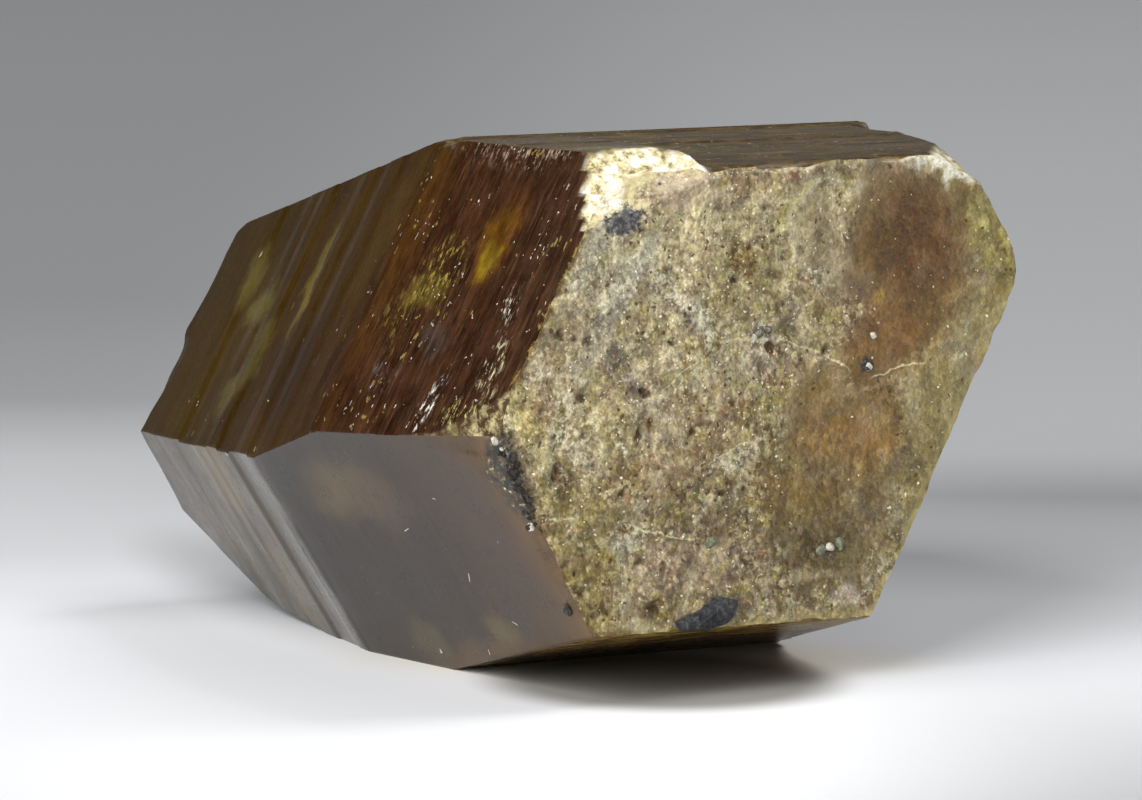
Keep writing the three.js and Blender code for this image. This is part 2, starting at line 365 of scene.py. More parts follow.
x, y, z = place.T
end_share = ring / END_RINGS
etched = np.where(on_end, smooth((ETCH_STOPS[0] - end_share) / ETCH_STOPS[1]), 0.0)
smooth_zone = SMOOTH_RIGHT[2] * smooth((x - SMOOTH_RIGHT[0]) / SMOOTH_RIGHT[1])
wobble = 0.7 * rough(x, y, 1.1, 51) + 0.5 * rough(x, y, 0.4, 52)
for (centre_x, centre_y), (half_x, half_y), share in SMOOTH_ZONES:
    reach = np.hypot((x - centre_x) / half_x, (y - centre_y) / half_y) + wobble
    smooth_zone = np.maximum(smooth_zone, share * smooth((1.25 - reach) / 0.4))
grainy = 1 - smooth_zone
crumb, crumb_number = crumbs(x / COARSE_CRUMB, y / COARSE_CRUMB, 1)
fine_crumb, fine_number = crumbs(x / FINE_CRUMB, y / FINE_CRUMB, 2)
relief = CRUMB_HEIGHT * (crumb_number - 0.5) * crumb + CRUMB_HEIGHT * (fine_number - 0.4) * fine_crumb
relief += COARSE_SWELL[0] * rough(x, y, COARSE_SWELL[1], 9) + FINE_SWELL[0] * rough(x, y, FINE_SWELL[1], 10)
z = z + etched * grainy * relief

# Etch pits: scattered ones, known ones, and fine pores that crowd in places
PITS = 26
PIT_FIELD = ((-6.4, 12.6), (-5.0, 9.2))  # where it starts and how far it reaches, across and up
PIT_CROWDING = 1.35  # above one, the pits crowd to the left
PIT_RADIUS = 0.36
PIT_DEPTH = 0.06
KNOWN_HOLLOWS = [
    # x, y, radius
    (-5.38, 1.26, 0.15), (-5.0, 1.12, 0.12), (-4.59, 1.07, 0.12), (-4.83, -0.14, 0.11),
    (-6.42, -0.34, 0.14), (-3.25, -0.97, 0.26), (-5.48, -1.95, 0.3), (-1.19, -2.52, 0.11),
    (-0.51, -2.48, 0.15), (-3.21, -0.14, 0.14), (-5.43, -3.92, 0.17), (-5.09, -4.05, 0.11),
    (-5.0, -4.49, 0.14), (-4.72, -4.81, 0.15), (-4.67, -5.05, 0.13), (-4.43, -4.89, 0.12),
    (-4.21, -5.01, 0.11), (-3.0, -5.03, 0.22), (-0.68, 2.26, 0.14), (0.24, 0.74, 0.15),
    (0.4, 4.61, 0.09), (-0.1, 4.62, 0.08), (-4.15, -1.96, 0.1), (-3.89, -2.35, 0.11),
    (-3.7, -2.2, 0.08), (-2.4, 0.95, 0.09), (-1.92, -1.13, 0.12), (6.9, 2.6, 0.12),
    (6.3, 1.3, 0.1), (-3.4, -3.9, 0.12),
]
KNOWN_STRETCH = 1.2  # the known ones are this much wider than high
KNOWN_DEPTH = 0.07
PORE_WIDTH = 0.36
PORE_DEPTH = 0.08
HOLLOW_RUN = 0.7  # the share of a hollow's radius over which its wall slopes

pit_number = np.arange(PITS)
pit_x = PIT_FIELD[0][0] + PIT_FIELD[0][1] * scatter(pit_number, 11) ** PIT_CROWDING
pit_y = PIT_FIELD[1][0] + PIT_FIELD[1][1] * scatter(pit_number, 12)
pit_radius = PIT_RADIUS * (0.5 + 0.5 * scatter(pit_number, 13))
frayed_wall = 0.8 * rough(x, y, 0.3, 12) + 0.4 * rough(x, y, 0.14, 14)
hollow = np.zeros(len(x))
for centre_x, centre_y, radius in zip(pit_x, pit_y, pit_radius):
    reach = np.hypot(x - centre_x, y - centre_y) / radius + frayed_wall
    hollow = np.maximum(hollow, smooth((1.0 - reach) / HOLLOW_RUN))
known_hollow = np.zeros(len(x))
frayed_rim = 1.3 * rough(x, y, 0.19, 15) + 0.7 * rough(x, y, 0.09, 16)
for centre_x, centre_y, radius in KNOWN_HOLLOWS:
    reach = np.hypot((x - centre_x) / KNOWN_STRETCH, y - centre_y) / radius + frayed_rim
    known_hollow = np.maximum(known_hollow, smooth((1.05 - reach) / HOLLOW_RUN))
pore, pore_number = crumbs(x / PORE_WIDTH, y / PORE_WIDTH, 4)
crowd = smooth((lumps(x / 1.9, y / 1.9, 13) - 0.35) / 0.3) * grainy
fine_pit = smooth((pore - 0.35) / 0.4) * smooth((pore_number - 0.78) / 0.1) * crowd
hollow *= grainy**2
z = z - etched * (PIT_DEPTH * hollow + PORE_DEPTH * fine_pit + KNOWN_DEPTH * known_hollow)
pitted = etched * np.maximum(0.3 * hollow, 0.8 * fine_pit)
place[:, 2] = z

# Growth waves across the sides, along the long axis only, calmer towards the rear
COARSE_WAVE = (0.035, 0.5, 9)  # height, how far apart along the axis, how far one runs across
FINE_WAVE = (0.02, 0.17, 5)
CALM_REAR = (5.5, 3, 0.6)  # at which depth they start to calm, over how far, and by how much
CALM_OF_SIDE = np.array([0.45, 0.5, 0.8, 0.3, 0.0, 0.45])

along = -z
side_number = side_of_column[column]
face_turn = np.radians([side["turn"] for side in SIDES])[side_number]
outward = np.stack([np.cos(face_turn), np.sin(face_turn), np.zeros(len(x))], axis=1)
across = -x * np.sin(face_turn) + y * np.cos(face_turn)
waves = np.zeros(len(x))
for layer, (height, apart, run) in enumerate([COARSE_WAVE, FINE_WAVE], start=20):
    waves += height * (lumps(along / apart, across / run + side_number * 3, layer) - 0.5)
calm = (1 - CALM_REAR[2] * smooth((along - CALM_REAR[0]) / CALM_REAR[1])) * CALM_OF_SIDE[side_number]
place += outward * (on_side * waves * calm)[:, None]

# Worn edges: crumbled a little where the end face meets the sides
EDGE_WEAR = 0.13
CRUMBLE_OF_SIDE = np.array([0.35, 1.0, 0.45, 1.0, 0.6, 0.4])
CRUMBLE_FALL = -0.7  # how far a crumbled edge drops for each step that it goes inwards

to_edge = np.hypot(x - end_x[column], y - end_y[column])
edge_gap = np.where(on_end, to_edge, np.clip(along - end_depth[column], 0, 9))
edge_wear = np.exp(-((edge_gap / EDGE_WEAR) ** 2)) * (on_end | on_side)
step_x = np.diff(np.append(end_x, end_x[0]))
step_y = np.diff(np.append(end_y, end_y[0]))
rim = np.cumsum(np.hypot(step_x, step_y))[column]
crumble = 0.08 * smooth((lumps(rim / 0.6, rim * 0, 30) - 0.5) / 0.3) + 0.05 * lumps(rim / 0.21, rim * 0, 31)
crumble = crumble * CRUMBLE_OF_SIDE[side_number]
inward = np.stack([-x, -y, np.zeros(len(x))], axis=1) / np.maximum(np.hypot(x, y), 0.1)[:, None]
inward[:, 2] = CRUMBLE_FALL
place += inward * (edge_wear * crumble)[:, None]

# The flake that stands up at the top edge beside the upper left corner
FLAKE_HEIGHT = 0.11
flake_x = (place[:, 0] + 2.75) / 0.95
flake_z = (place[:, 2] + 0.35) / 0.55
near_top = smooth((place[:, 1] - 4.3) / 0.6)
place[:, 1] += FLAKE_HEIGHT * near_top * np.exp(-(flake_x**4) - flake_z**2)

# Broken corners, each laid back to its break with a rough, glassy surface
CORNER_CHIPS = [
    # a point on the break, and the direction that it faces
    {"name": "upper left", "at": (-4.66, 3.6, 0.6), "facing": (-0.13, 0.58, 0.8)},
    {"name": "upper right", "at": (4.9, 4.9, -0.15), "facing": (0.45, 0.78, 0.43)},
    {"name": "left", "at": (-6.62, -2.07, 0.5), "facing": (-0.909, -0.04, 0.415)},
    {"name": "lower right", "at": (3.31, -5.16, -0.68), "facing": (0.73, -0.66, 0.2)},
    {"name": "right", "at": (7.22, 2.1, -0.6), "facing": (0.99, 0.1, 0.12)},
]
BREAK_RUN = 0.04  # how much has to be gone for the surface to show as broken

broken = np.zeros(len(place))
ivory_break = np.zeros(len(place))
for chip in CORNER_CHIPS:
    facing = np.array(chip["facing"])
    facing = facing / np.linalg.norm(facing)
    above = (place - np.array(chip["at"])) @ facing
    roughness = 0.16 * rough(place[:, 0], place[:, 1], 0.7, 40)
    roughness += 0.06 * (lumps(place[:, 0] / 0.25, place[:, 1] / 0.25 + place[:, 2], 41) - 0.5)
    cut = np.maximum(above - roughness, 0)
    place -= facing * cut[:, None]
    broken = np.maximum(broken, smooth(cut / BREAK_RUN))
    if chip["name"].startswith("upper"):
        ivory_break = np.maximum(ivory_break, smooth(cut / BREAK_RUN))

# Bites out of the edges, pushed in towards the long axis
EDGE_BITES = [
    # middle, radius
    ((-4.35, 5.75, -2.4), 0.6),
    ((-4.55, 6.05, -4.1), 0.75),
    ((-4.7, 6.15, -5.7), 0.85),
    ((-7.95, -1.0, -1.9), 0.45),
    ((-4.75, -5.85, 0.35), 0.45),
    ((6.2, 5.75, -4.6), 0.8),
    ((8.45, 1.7, -8.6), 0.9),
]
BITE_HOLLOW = 0.55  # how deep a bite goes for its radius
BITE_RUN = 0.05

for centre, radius in EDGE_BITES:
    centre = np.array(centre)
    into = np.array([-centre[0], -centre[1], 0.0])
    into /= np.linalg.norm(into)
    offset = place - centre
    deep = offset @ into
    wide = np.linalg.norm(offset - deep[:, None] * into, axis=1) / radius
    wide += 0.3 * rough(place[:, 0], place[:, 2], 0.3, 42)
    floor_of_bite = BITE_HOLLOW * radius * np.sqrt(np.clip(1 - wide**2, 0, 1))
    push = np.where((wide < 1) & (np.abs(deep) < 2 * radius), np.maximum(floor_of_bite - deep, 0), 0)
    place += into * (push * smooth((1 - wide) / 0.2))[:, None]
    broken = np.maximum(broken, smooth(push / BITE_RUN))

# The worn belly is one flat, and nothing lies below it
belly_way = np.array([0.0, -math.cos(AXIS_RISE), -math.sin(AXIS_RISE)])
below = place @ belly_way - BELLY_DROP
place -= belly_way * np.maximum(below, 0)[:, None]
end_skin = place[on_end].copy()  # where the finished end face lies, for the grains that are set in it


def lay_down(x, y, z):
    """A place in the crystal's own frame, laid down on the belly, still in millimetres."""
    return [
        x - FOOTPRINT_CENTRE[0],
        y * math.sin(AXIS_RISE) - z * math.cos(AXIS_RISE) - FOOTPRINT_CENTRE[1],
        y * math.cos(AXIS_RISE) + z * math.sin(AXIS_RISE) + BELLY_DROP,
    ]


laid = np.stack(lay_down(*place.T), axis=1) * MM
crystal_mesh.vertices.foreach_set("co", laid.ravel())
masks = {
    "pitted": pitted,
    "known_hollow": etched * known_hollow,
    "broken": broken,
    "ivory_break": ivory_break,
    "edge_gap": edge_gap,
    "grainy": grainy,
}
for name, values in masks.items():
    attribute = crystal_mesh.attributes.new(name, "FLOAT", "POINT")
    attribute.data.foreach_set("value", values.astype(np.float32))
SHARP_EDGE = math.radians(62)
crystal_mesh.update()
crystal_mesh.shade_smooth()
crystal_mesh.set_sharp_from_angle(angle=SHARP_EDGE)
crystal = bpy.data.objects.new("parisite_crystal", crystal_mesh)
bpy.context.collection.objects.link(crystal)


# Every finish of the crystal is painted with shader nodes on the place in its own frame, in millimetres
def colour(red, green, blue):
    """A colour as it reads on a screen, as the light it throws back."""
    linear = [((v / 255 + 0.055) / 1.055) ** 2.4 if v > 10 else v / 255 / 12.92 for v in (red, green, blue)]
    return (*linear, 1.0)


def set_input(tree, socket, value):
    if isinstance(value, Flow):
        tree.links.new(value.socket, socket)
    else:
        socket.default_value = value


def add_node(tree, kind, inputs=None, **settings):
    """A new node; its inputs take numbers, or what flows out of other nodes."""
    made = tree.nodes.new(kind)
    for name, value in settings.items():
        setattr(made, name, value)
    for name, value in (inputs or {}).items():
        set_input(tree, made.inputs[name], value)
    return made


NOISE_SPAN = (0.25, 0.75)  # noise seldom leaves this span


class Flow:
    """What flows out of one socket: a place, a share from nought to one, or a colour."""

    def __init__(self, tree, socket):
        self.tree = tree
        self.socket = socket

    def through(self, kind, inputs, output=0, **settings):
        """What comes out of a new node of the same tree."""
        return Flow(self.tree, add_node(self.tree, kind, inputs, **settings).outputs[output])

    def sum(self, operation, first, second=0.0):
        return self.through("ShaderNodeMath", {0: first, 1: second}, operation=operation)

    def __add__(self, other):
        return self.sum("ADD", self, other)

    def __sub__(self, other):
        return self.sum("SUBTRACT", self, other)

    def __rsub__(self, other):
        return self.sum("SUBTRACT", other, self)

    def __mul__(self, other):
        return self.sum("MULTIPLY", self, other)

    def __truediv__(self, other):
        return self.sum("DIVIDE", self, other)

    def __abs__(self):
        return self.sum("ABSOLUTE", self)

    def fade(self, start, stop, low=0.0, high=1.0):
        """A smooth step from low, where this is at start, to high, where it is at stop."""
        inputs = {"Value": self, 1: start, 2: stop, 3: low, 4: high}
        return self.through("ShaderNodeMapRange", inputs, interpolation_type="SMOOTHSTEP", clamp=False)

    def as_grey(self):
        return self.through("ShaderNodeCombineColor", {0: self, 1: self, 2: self})

    def between(self, low_tone, high_tone):
        """The colour that runs from one tone to another as this share rises."""
        inputs = {0: self, 6: colour(*low_tone), 7: colour(*high_tone)}
        return self.through("ShaderNodeMix", inputs, 2, data_type="RGBA")

    def ramp(self, stops):
        """The colour at this share among stops, each a share and a colour."""
        made = add_node(self.tree, "ShaderNodeValToRGB", {0: self})
        elements = made.color_ramp.elements
        while len(elements) < len(stops):
            elements.new(0.5)
        for element, (share, tone) in zip(elements, stops):
            element.position = share
            element.color = tone
        return Flow(self.tree, made.outputs[0])

    def tinted(self, tone, share, way="MIX"):
        """This colour with another laid over it by a share; three numbers are as they read on a screen."""
        over = colour(*tone) if isinstance(tone, tuple) and len(tone) == 3 else tone
        inputs = {0: share, 6: self, 7: over}
        return self.through("ShaderNodeMix", inputs, 2, data_type="RGBA", blend_type=way)

    def brighter(self, share, low, high):
        """This colour made darker or brighter by a factor that runs from low to high."""
        return self.tinted(share.fade(*NOISE_SPAN, low, high).as_grey(), 1.0, "MULTIPLY")

    def moved(self, offset):
        return self.through("ShaderNodeMapping", {"Vector": self, "Location": offset})

    def stretched(self, scale):
        return self.through("ShaderNodeMapping", {"Vector": self, "Scale": scale})

    def turned(self, rotation):
        return self.through("ShaderNodeMapping", {"Vector": self, "Rotation": rotation})

    def part(self, axis):
        return self.through("ShaderNodeSeparateXYZ", {0: self}, axis)

    def noise(self, scale, detail=4.0, roughness=0.55, output="Fac"):
        inputs = {"Vector": self, "Scale": scale, "Detail": detail, "Roughness": roughness}
        return self.through("ShaderNodeTexNoise", inputs, output)

    def warped(self, scale, reach, detail=5.0):
        """This place pushed about by noise, so that what is drawn on it frays like a cloud."""
        push = self.noise(scale, detail, 0.65, "Color")
        push = self.through("ShaderNodeVectorMath", {0: push, 1: (0.5, 0.5, 0.5)}, operation="SUBTRACT")
        push = self.through("ShaderNodeVectorMath", {0: push, "Scale": reach}, operation="SCALE")
        return self.through("ShaderNodeVectorMath", {0: push, 1: self}, operation="ADD")

    def cells(self, scale):
        """How far it is to the middle of the nearest jittered cell, and three numbers of that cell."""
        made = add_node(self.tree, "ShaderNodeTexVoronoi", {"Vector": self, "Scale": scale})
        numbers = add_node(self.tree, "ShaderNodeSeparateColor", {0: Flow(self.tree, made.outputs["Color"])})
        return Flow(self.tree, made.outputs["Distance"]), [Flow(self.tree, one) for one in numbers.outputs]

    def mask(self, name):
        """What the mesh says under a name."""
        return self.through("ShaderNodeAttribute", {}, "Fac", attribute_name=name)

    def laid(self, group, **inputs):
        """The outputs of a node group at this place, by name."""
        made = self.tree.nodes.new("ShaderNodeGroup")
        made.node_tree = group
        set_input(self.tree, made.inputs["Place"], self)
        for name, value in inputs.items():
            set_input(self.tree, made.inputs[name], value)
        return {output.name: Flow(self.tree, output) for output in made.outputs}

    def patch(self, centre, size, turn=0, softness=0.5, wander=0.0):
        turn = math.radians(turn)
        given = {"Centre": centre, "Size": size, "Turn": turn, "Softness": softness, "Wander": wander}
        return self.laid(patch_group, **given)["Mask"]

    def vein(self, centre, turn, length, width, bend=0.0):
        given = {"Centre": centre, "Turn": math.radians(turn), "Length": length, "Width": width, "Bend": bend}
        return self.laid(vein_group, **given)["Mask"]

    def flecks(self, scale, share, size):
        return self.laid(fleck_group, Scale=scale, Share=share, Size=size)["Mask"]


def new_group(name, inputs, outputs):
    """A node group, what flows into it by name, and the sockets that it puts out."""
    group = bpy.data.node_groups.new(name, "ShaderNodeTree")
    for label, value in inputs.items():
        kind = "NodeSocketVector" if isinstance(value, tuple) else "NodeSocketFloat"
        group.interface.new_socket(label, in_out="INPUT", socket_type=kind).default_value = value
    for label in outputs:
        group.interface.new_socket(label, in_out="OUTPUT", socket_type="NodeSocketFloat")
    given = {output.name: Flow(group, output) for output in group.nodes.new("NodeGroupInput").outputs}
    return group, given, group.nodes.new("NodeGroupOutput").inputs


# A patch of other colour: an oval with a soft edge that may wander
PATCH_REACH = 4.0  # how many half sizes out the mask can tell the distance
patch_group, given, result = new_group(
    "patch",
    {
        "Place": (0, 0, 0),
        "Centre": (0, 0, 0),
        "Size": (1, 1, 1),
        "Turn": 0.0,
        "Softness": 0.3,
        "Wander": 0.0,
    },
    ["Mask"],
)
place = given["Place"]
turn = place.through("ShaderNodeCombineXYZ", {"Z": given["Turn"]})
whole = place.through("ShaderNodeVectorMath", {0: given["Size"], "Scale": PATCH_REACH}, operation="SCALE")
framing = {"Vector": place, "Location": given["Centre"], "Rotation": turn, "Scale": whole}
local = place.through("ShaderNodeMapping", framing, vector_type="TEXTURE")
nearness = local.through("ShaderNodeTexGradient", {0: local}, 1, gradient_type="SPHERICAL")
reach = (1.0 - nearness) * PATCH_REACH + given["Wander"]
set_input(patch_group, result["Mask"], reach.fade(given["Softness"] + 1.0, 1.0 - given["Softness"]))

# A healed crack or a thin ledge: a narrow line, bent a little, that fades at both ends
vein_group, given, result = new_group(
    "vein",
    {
        "Place": (0, 0, 0),
        "Centre": (0, 0, 0),
        "Turn": 0.0,
        "Length": 1.0,
        "Width": 0.04,
        "Bend": 0.0,
    },
    ["Mask"],
)
place = given["Place"]
turn = place.through("ShaderNodeCombineXYZ", {"Z": given["Turn"]})
framing = {"Vector": place, "Location": given["Centre"], "Rotation": turn}
local = place.through("ShaderNodeMapping", framing, vector_type="TEXTURE")
ahead = local.part("X")
aside = abs(local.part("Y") - ahead * ahead * given["Bend"]) / given["Width"]
on_line = aside.fade(1.5, 0.4) * (abs(ahead) / given["Length"]).fade(1.0, 0.8)
set_input(vein_group, result["Mask"], on_line)

# Etched grain: sugary crumbs of random tone, with painted light on their tips and painted shade in the
# hollows between them
grain_group, given, result = new_group("etched grain", {"Place": (0, 0, 0)}, ["Light", "Dark", "Height"])
coarse = given["Place"].noise(2.6, 7.0, 0.68)
crumb_gap, crumb_tones = given["Place"].cells(6.5)
fine_gap, fine_tones = given["Place"].cells(13.0)
tone = crumb_tones[0] * 0.35 + fine_tones[0] * 0.3 + coarse * 0.7
set_input(grain_group, result["Light"], tone.fade(0.62, 1.12))
set_input(grain_group, result["Dark"], tone.fade(0.62, 0.3))
set_input(grain_group, result["Height"], (1.0 - crumb_gap) * 0.55 + (1.0 - fine_gap) * 0.3 + coarse * 0.6)

# Flecks: rare small bright grains
fleck_inputs = {"Place": (0, 0, 0), "Scale": 5.0, "Share": 0.1, "Size": 0.3}
fleck_group, given, result = new_group("flecks", fleck_inputs, ["Mask"])
fleck_gap, fleck_tones = given["Place"].cells(given["Scale"])
chosen = fleck_gap.sum("LESS_THAN", fleck_tones[1], given["Share"])
set_input(fleck_group, result["Mask"], chosen * fleck_gap.fade(given["Size"], given["Size"] * 0.5))

# Growth streaks: thin lines across the length, each at one depth below the end face
streak_inputs = {"Place": (0, 0, 0), "Density": 10.0, "Run": 0.45}
streak_group, given, result = new_group("growth streaks", streak_inputs, ["Light", "Height"])
stretch_by = {"X": given["Run"], "Y": given["Run"], "Z": given["Density"]}
stretch = given["Place"].through("ShaderNodeCombineXYZ", stretch_by)
lines = given["Place"].stretched(stretch).noise(1.0, 5.0, 0.7)
set_input(streak_group, result["Light"], lines.fade(0.5, 0.78))
set_input(streak_group, result["Height"], lines)


MINERAL_IOR = 1.7


def crystal_material(name, roughness, specular):
    """A material, its shader, and the place on the crystal in the crystal's own frame, in millimetres."""
    material = bpy.data.materials.new(name)
    material.use_nodes = True
    tree = material.node_tree
    shader = tree.nodes["Principled BSDF"]
    shader.inputs["IOR"].default_value = MINERAL_IOR
    shader.inputs["Roughness"].default_value = roughness
    shader.inputs["Specular IOR Level"].default_value = specular
    on_object = Flow(tree, add_node(tree, "ShaderNodeTexCoord").outputs["Object"])
    upright = -(math.pi / 2 - AXIS_RISE)
    shift = Matrix.Rotation(upright, 3, "X") @ Vector((FOOTPRINT_CENTRE[0], FOOTPRINT_CENTRE[1], -BELLY_DROP))
    scale = (1 / MM, 1 / MM, 1 / MM)
    framing = {"Vector": on_object, "Location": shift, "Rotation": (upright, 0, 0), "Scale": scale}
    return material, shader, on_object.through("ShaderNodeMapping", framing)


def finish_shader(shader, base, height, depth, roughness=None):
    """Colour, relief of a depth in metres, and roughness, wired to the shader."""
    bump = base.through("ShaderNodeBump", {"Height": height, "Distance": depth, "Strength": 1.0})
    set_input(base.tree, shader.inputs["Base Color"], base)
    set_input(base.tree, shader.inputs["Normal"], bump)
    if roughness:
        set_input(base.tree, shader.inputs["Roughness"], roughness)


ANY_DEPTH = 400.0


def on_end_face(pair, depth):
    return (*pair, depth)


def on_one_side(pair, depth):
    return (depth, *pair)


def lay_patches(base, place, spot, patches, broken_up=None):
    """Patches of other colours, one over another, each an oval on the end face or on one side."""
    for centre, size, turn, softness, share, tone in patches:
        mask = place.patch(spot(centre, 0), spot(size, ANY_DEPTH), turn, softness)
        if broken_up:
            mask = mask * broken_up
        base = base.tinted(tone, mask * share)
    return base


def side_place(place, side_name):
    """The same place, turned so that x runs outwards from one side and y along its edge."""
    turn = next(side["turn"] for side in SIDES if side["name"] == side_name)
    return place.turned((0, 0, -math.radians(turn)))


def growth_bands(zone, bands):
    """The colours across a side, by how deep below the end face each lies."""
    return zone.ramp([(depth / LENGTH, colour(*tone)) for depth, tone in bands])


def dirty_corner(base, place):
    """The dark crumbs that fill the broken left corner, on each surface that meets there."""
    mask = place.warped(2.2, 0.8).patch((-6.75, -1.75, 0.45), (0.42, 1.2, 0.6), 22, 0.35)
    dirt = place.moved((3, 5, 1)).noise(6.0, 6.0, 0.75)
    dark = dirt.fade(0.48, 0.62).between((20, 16, 13), (92, 76, 50))
    dark = dark.tinted((226, 216, 186), dirt.fade(0.62, 0.67))
    return base.tinted(dark, mask)


# The end face: etched to a fine sugary grain over clouded translucent mineral, tan, olive and rust
# by zones, with clear reddish-brown windows, pits, pale healed cracks and glassy ivory breaks
TAN_LILAC = (170, 156, 132)
OLIVE_YELLOW = (156, 144, 86)
RUST = (146, 108, 60)
CREAM = (218, 212, 186)
CLOUDS = [
    # ovals whose edges fray like clouds: centre, half size, turn, softness, share, colour
    # the first makes the whole lower part of the end face darker
    ((0.6, -3.8), (4.8, 1.8), 0, 0.5, 0.85, (96, 80, 44)),
    ((4.9, -1.5), (1.6, 3.6), 28, 0.5, 0.85, (142, 128, 78)),
    ((-5.1, -3.2), (1.4, 1.9), 10, 0.5, 0.8, (136, 122, 66)),
    ((-1.5, 3.6), (3.4, 1.3), 0, 0.6, 0.7, (214, 200, 156)),
    ((-4.2, 1.0), (2.0, 2.2), 0, 0.6, 0.5, (184, 168, 132)),
    ((1.6, -2.3), (1.7, 1.0), 10, 0.5, 0.8, (116, 92, 46)),
    ((1.7, 3.3), (0.75, 1.4), 8, 0.4, 0.75, (166, 152, 116)),
    ((0.0, 4.6), (1.1, 0.4), 0, 0.5, 0.7, (150, 118, 86)),
    ((-3.3, -2.0), (0.9, 0.7), 0, 0.5, 0.5, (154, 118, 74)),
    ((-2.0, -4.05), (1.7, 0.55), 0, 0.5, 0.65, (182, 162, 136)),
    ((2.2, -5.2), (0.45, 0.22), 0, 0.5, 0.7, (200, 190, 172)),
]
WINDOWS_AND_SPOTS = [
    # ovals whose outlines are clear: centre, half size, turn, softness, share, colour
    ((-4.0, 2.6), (1.1, 1.1), 20, 0.5, 0.5, (190, 182, 152)),
    ((-1.7, -1.1), (1.4, 1.1), 0, 0.6, 0.45, (148, 122, 76)),
    ((1.2, 0.9), (0.9, 0.6), 20, 0.5, 0.45, (152, 138, 98)),
    ((0.0, -2.0), (1.1, 0.6), -10, 0.5, 0.5, (140, 126, 72)),
    ((1.62, -3.92), (0.36, 0.16), 0, 0.3, 0.85, (56, 56, 38)),
    ((4.2, 2.5), (1.75, 2.25), 0, 0.3, 0.92, (126, 96, 52)),
    ((4.35, 2.9), (1.0, 1.4), 8, 0.5, 0.85, (104, 68, 34)),
    ((3.4, 0.75), (1.25, 0.75), 8, 0.4, 0.9, (130, 92, 46)),
    ((3.37, 1.75), (0.16, 0.22), -35, 0.35, 0.8, (172, 136, 64)),
    ((2.6, 1.75), (0.55, 0.75), 15, 0.45, 0.6, (142, 116, 88)),
    ((2.3, -1.0), (1.75, 1.2), -15, 0.35, 0.85, (134, 104, 56)),
    ((3.3, -0.2), (0.9, 0.7), 20, 0.45, 0.6, (132, 100, 58)),
    ((2.5, -1.5), (1.15, 0.55), -12, 0.5, 0.75, (156, 118, 64)),
    ((0.7, -2.6), (1.2, 0.5), -15, 0.5, 0.7, (128, 100, 48)),
    ((1.2, -3.85), (0.9, 0.4), 0, 0.5, 0.7, (84, 68, 38)),
    ((-2.5, 2.3), (0.24, 0.6), 42, 0.35, 0.75, (192, 180, 148)),
    ((-1.75, 1.5), (0.24, 0.65), 40, 0.35, 0.85, (214, 206, 180)),
    ((-2.1, 1.5), (0.13, 0.7), 40, 0.4, 0.85, (104, 90, 72)),
    ((-2.75, 2.0), (0.12, 0.45), 40, 0.4, 0.8, (112, 98, 80)),
    ((-3.85, 0.45), (0.28, 1.1), 33, 0.45, 0.85, (108, 100, 92)),
    ((-3.25, -1.0), (0.24, 0.4), -10, 0.35, 0.95, (98, 68, 26)),
    ((-5.48, -1.9), (0.45, 0.38), 0, 0.5, 0.9, (84, 76, 50)),
    ((-3.0, -5.0), (0.3, 0.18), 30, 0.4, 0.9, (98, 68, 26)),
    ((-5.5, 2.3), (0.7, 0.5), 50, 0.5, 0.4, (166, 138, 92)),
    ((-5.6, 0.3), (0.9, 0.45), 60, 0.5, 0.5, (158, 130, 84)),
    ((-4.6, 3.0), (1.3, 0.35), 50, 0.5, 0.75, (208, 202, 180)),
    ((-3.6, 2.3), (1.5, 0.3), 52, 0.5, 0.7, (200, 196, 176)),
    ((-4.5, 0.9), (1.2, 0.3), 56, 0.5, 0.6, (192, 186, 160)),
    ((-0.5, 2.4), (1.1, 1.2), 0, 0.5, 0.5, (146, 134, 80)),
    ((-0.51, 2.68), (0.42, 0.44), 0, 0.2, 0.95, (112, 88, 36)),
    ((-0.82, -1.79), (0.6, 0.2), 22, 0.4, 0.7, (148, 138, 116)),
    ((-3.82, -3.55), (0.42, 0.24), 0, 0.5, 0.85, (188, 180, 160)),
    ((-2.58, -4.0), (0.7, 0.3), 0, 0.5, 0.7, (150, 128, 104)),
    ((0.6, 3.5), (0.2, 0.46), -20, 0.4, 0.95, (222, 208, 130)),
    ((1.1, 4.0), (0.12, 0.75), -44, 0.4, 0.85, (216, 202, 130)),
    ((-2.05, 4.35), (0.85, 0.42), 8, 0.2, 0.85, (192, 170, 144)),
    ((-0.3, -4.6), (3.4, 0.1), 1, 0.5, 0.4, (178, 160, 126)),
    ((-6.16, -0.8), (0.3, 0.9), 25, 0.4, 0.75, (190, 172, 108)),
    ((-5.6, -2.4), (0.4, 0.6), 15, 0.4, 0.7, (122, 110, 62)),
    ((6.6, 2.75), (0.5, 1.4), 22, 0.4, 0.85, (148, 134, 66)),
    ((6.4, 3.3), (0.16, 0.2), 0, 0.4, 0.9, (206, 194, 116)),
]
WHITE_CRUMBS = (232, 226, 200)
CRUMBLY_SPOTS = [
    # where white broken crumbs crowd: centre, half size, turn
    ((0.0, 0.98), (0.35, 0.26), 0),
    ((0.0, 1.0), (0.2, 0.16), 0),
    ((-0.75, -1.65), (0.8, 0.25), 22),
    ((-2.2, 2.0), (0.22, 0.9), 42),
    ((-1.7, 1.5), (0.16, 0.6), 42),
    ((-1.2, 0.9), (0.5, 0.5), 0),
    ((-4.9, -1.0), (0.4, 0.8), 20),
    ((1.55, 2.3), (0.35, 0.3), 0),
    ((-5.6, -0.2), (0.3, 1.2), 25),
    ((-3.6, -3.3), (0.7, 0.3), 0),
]
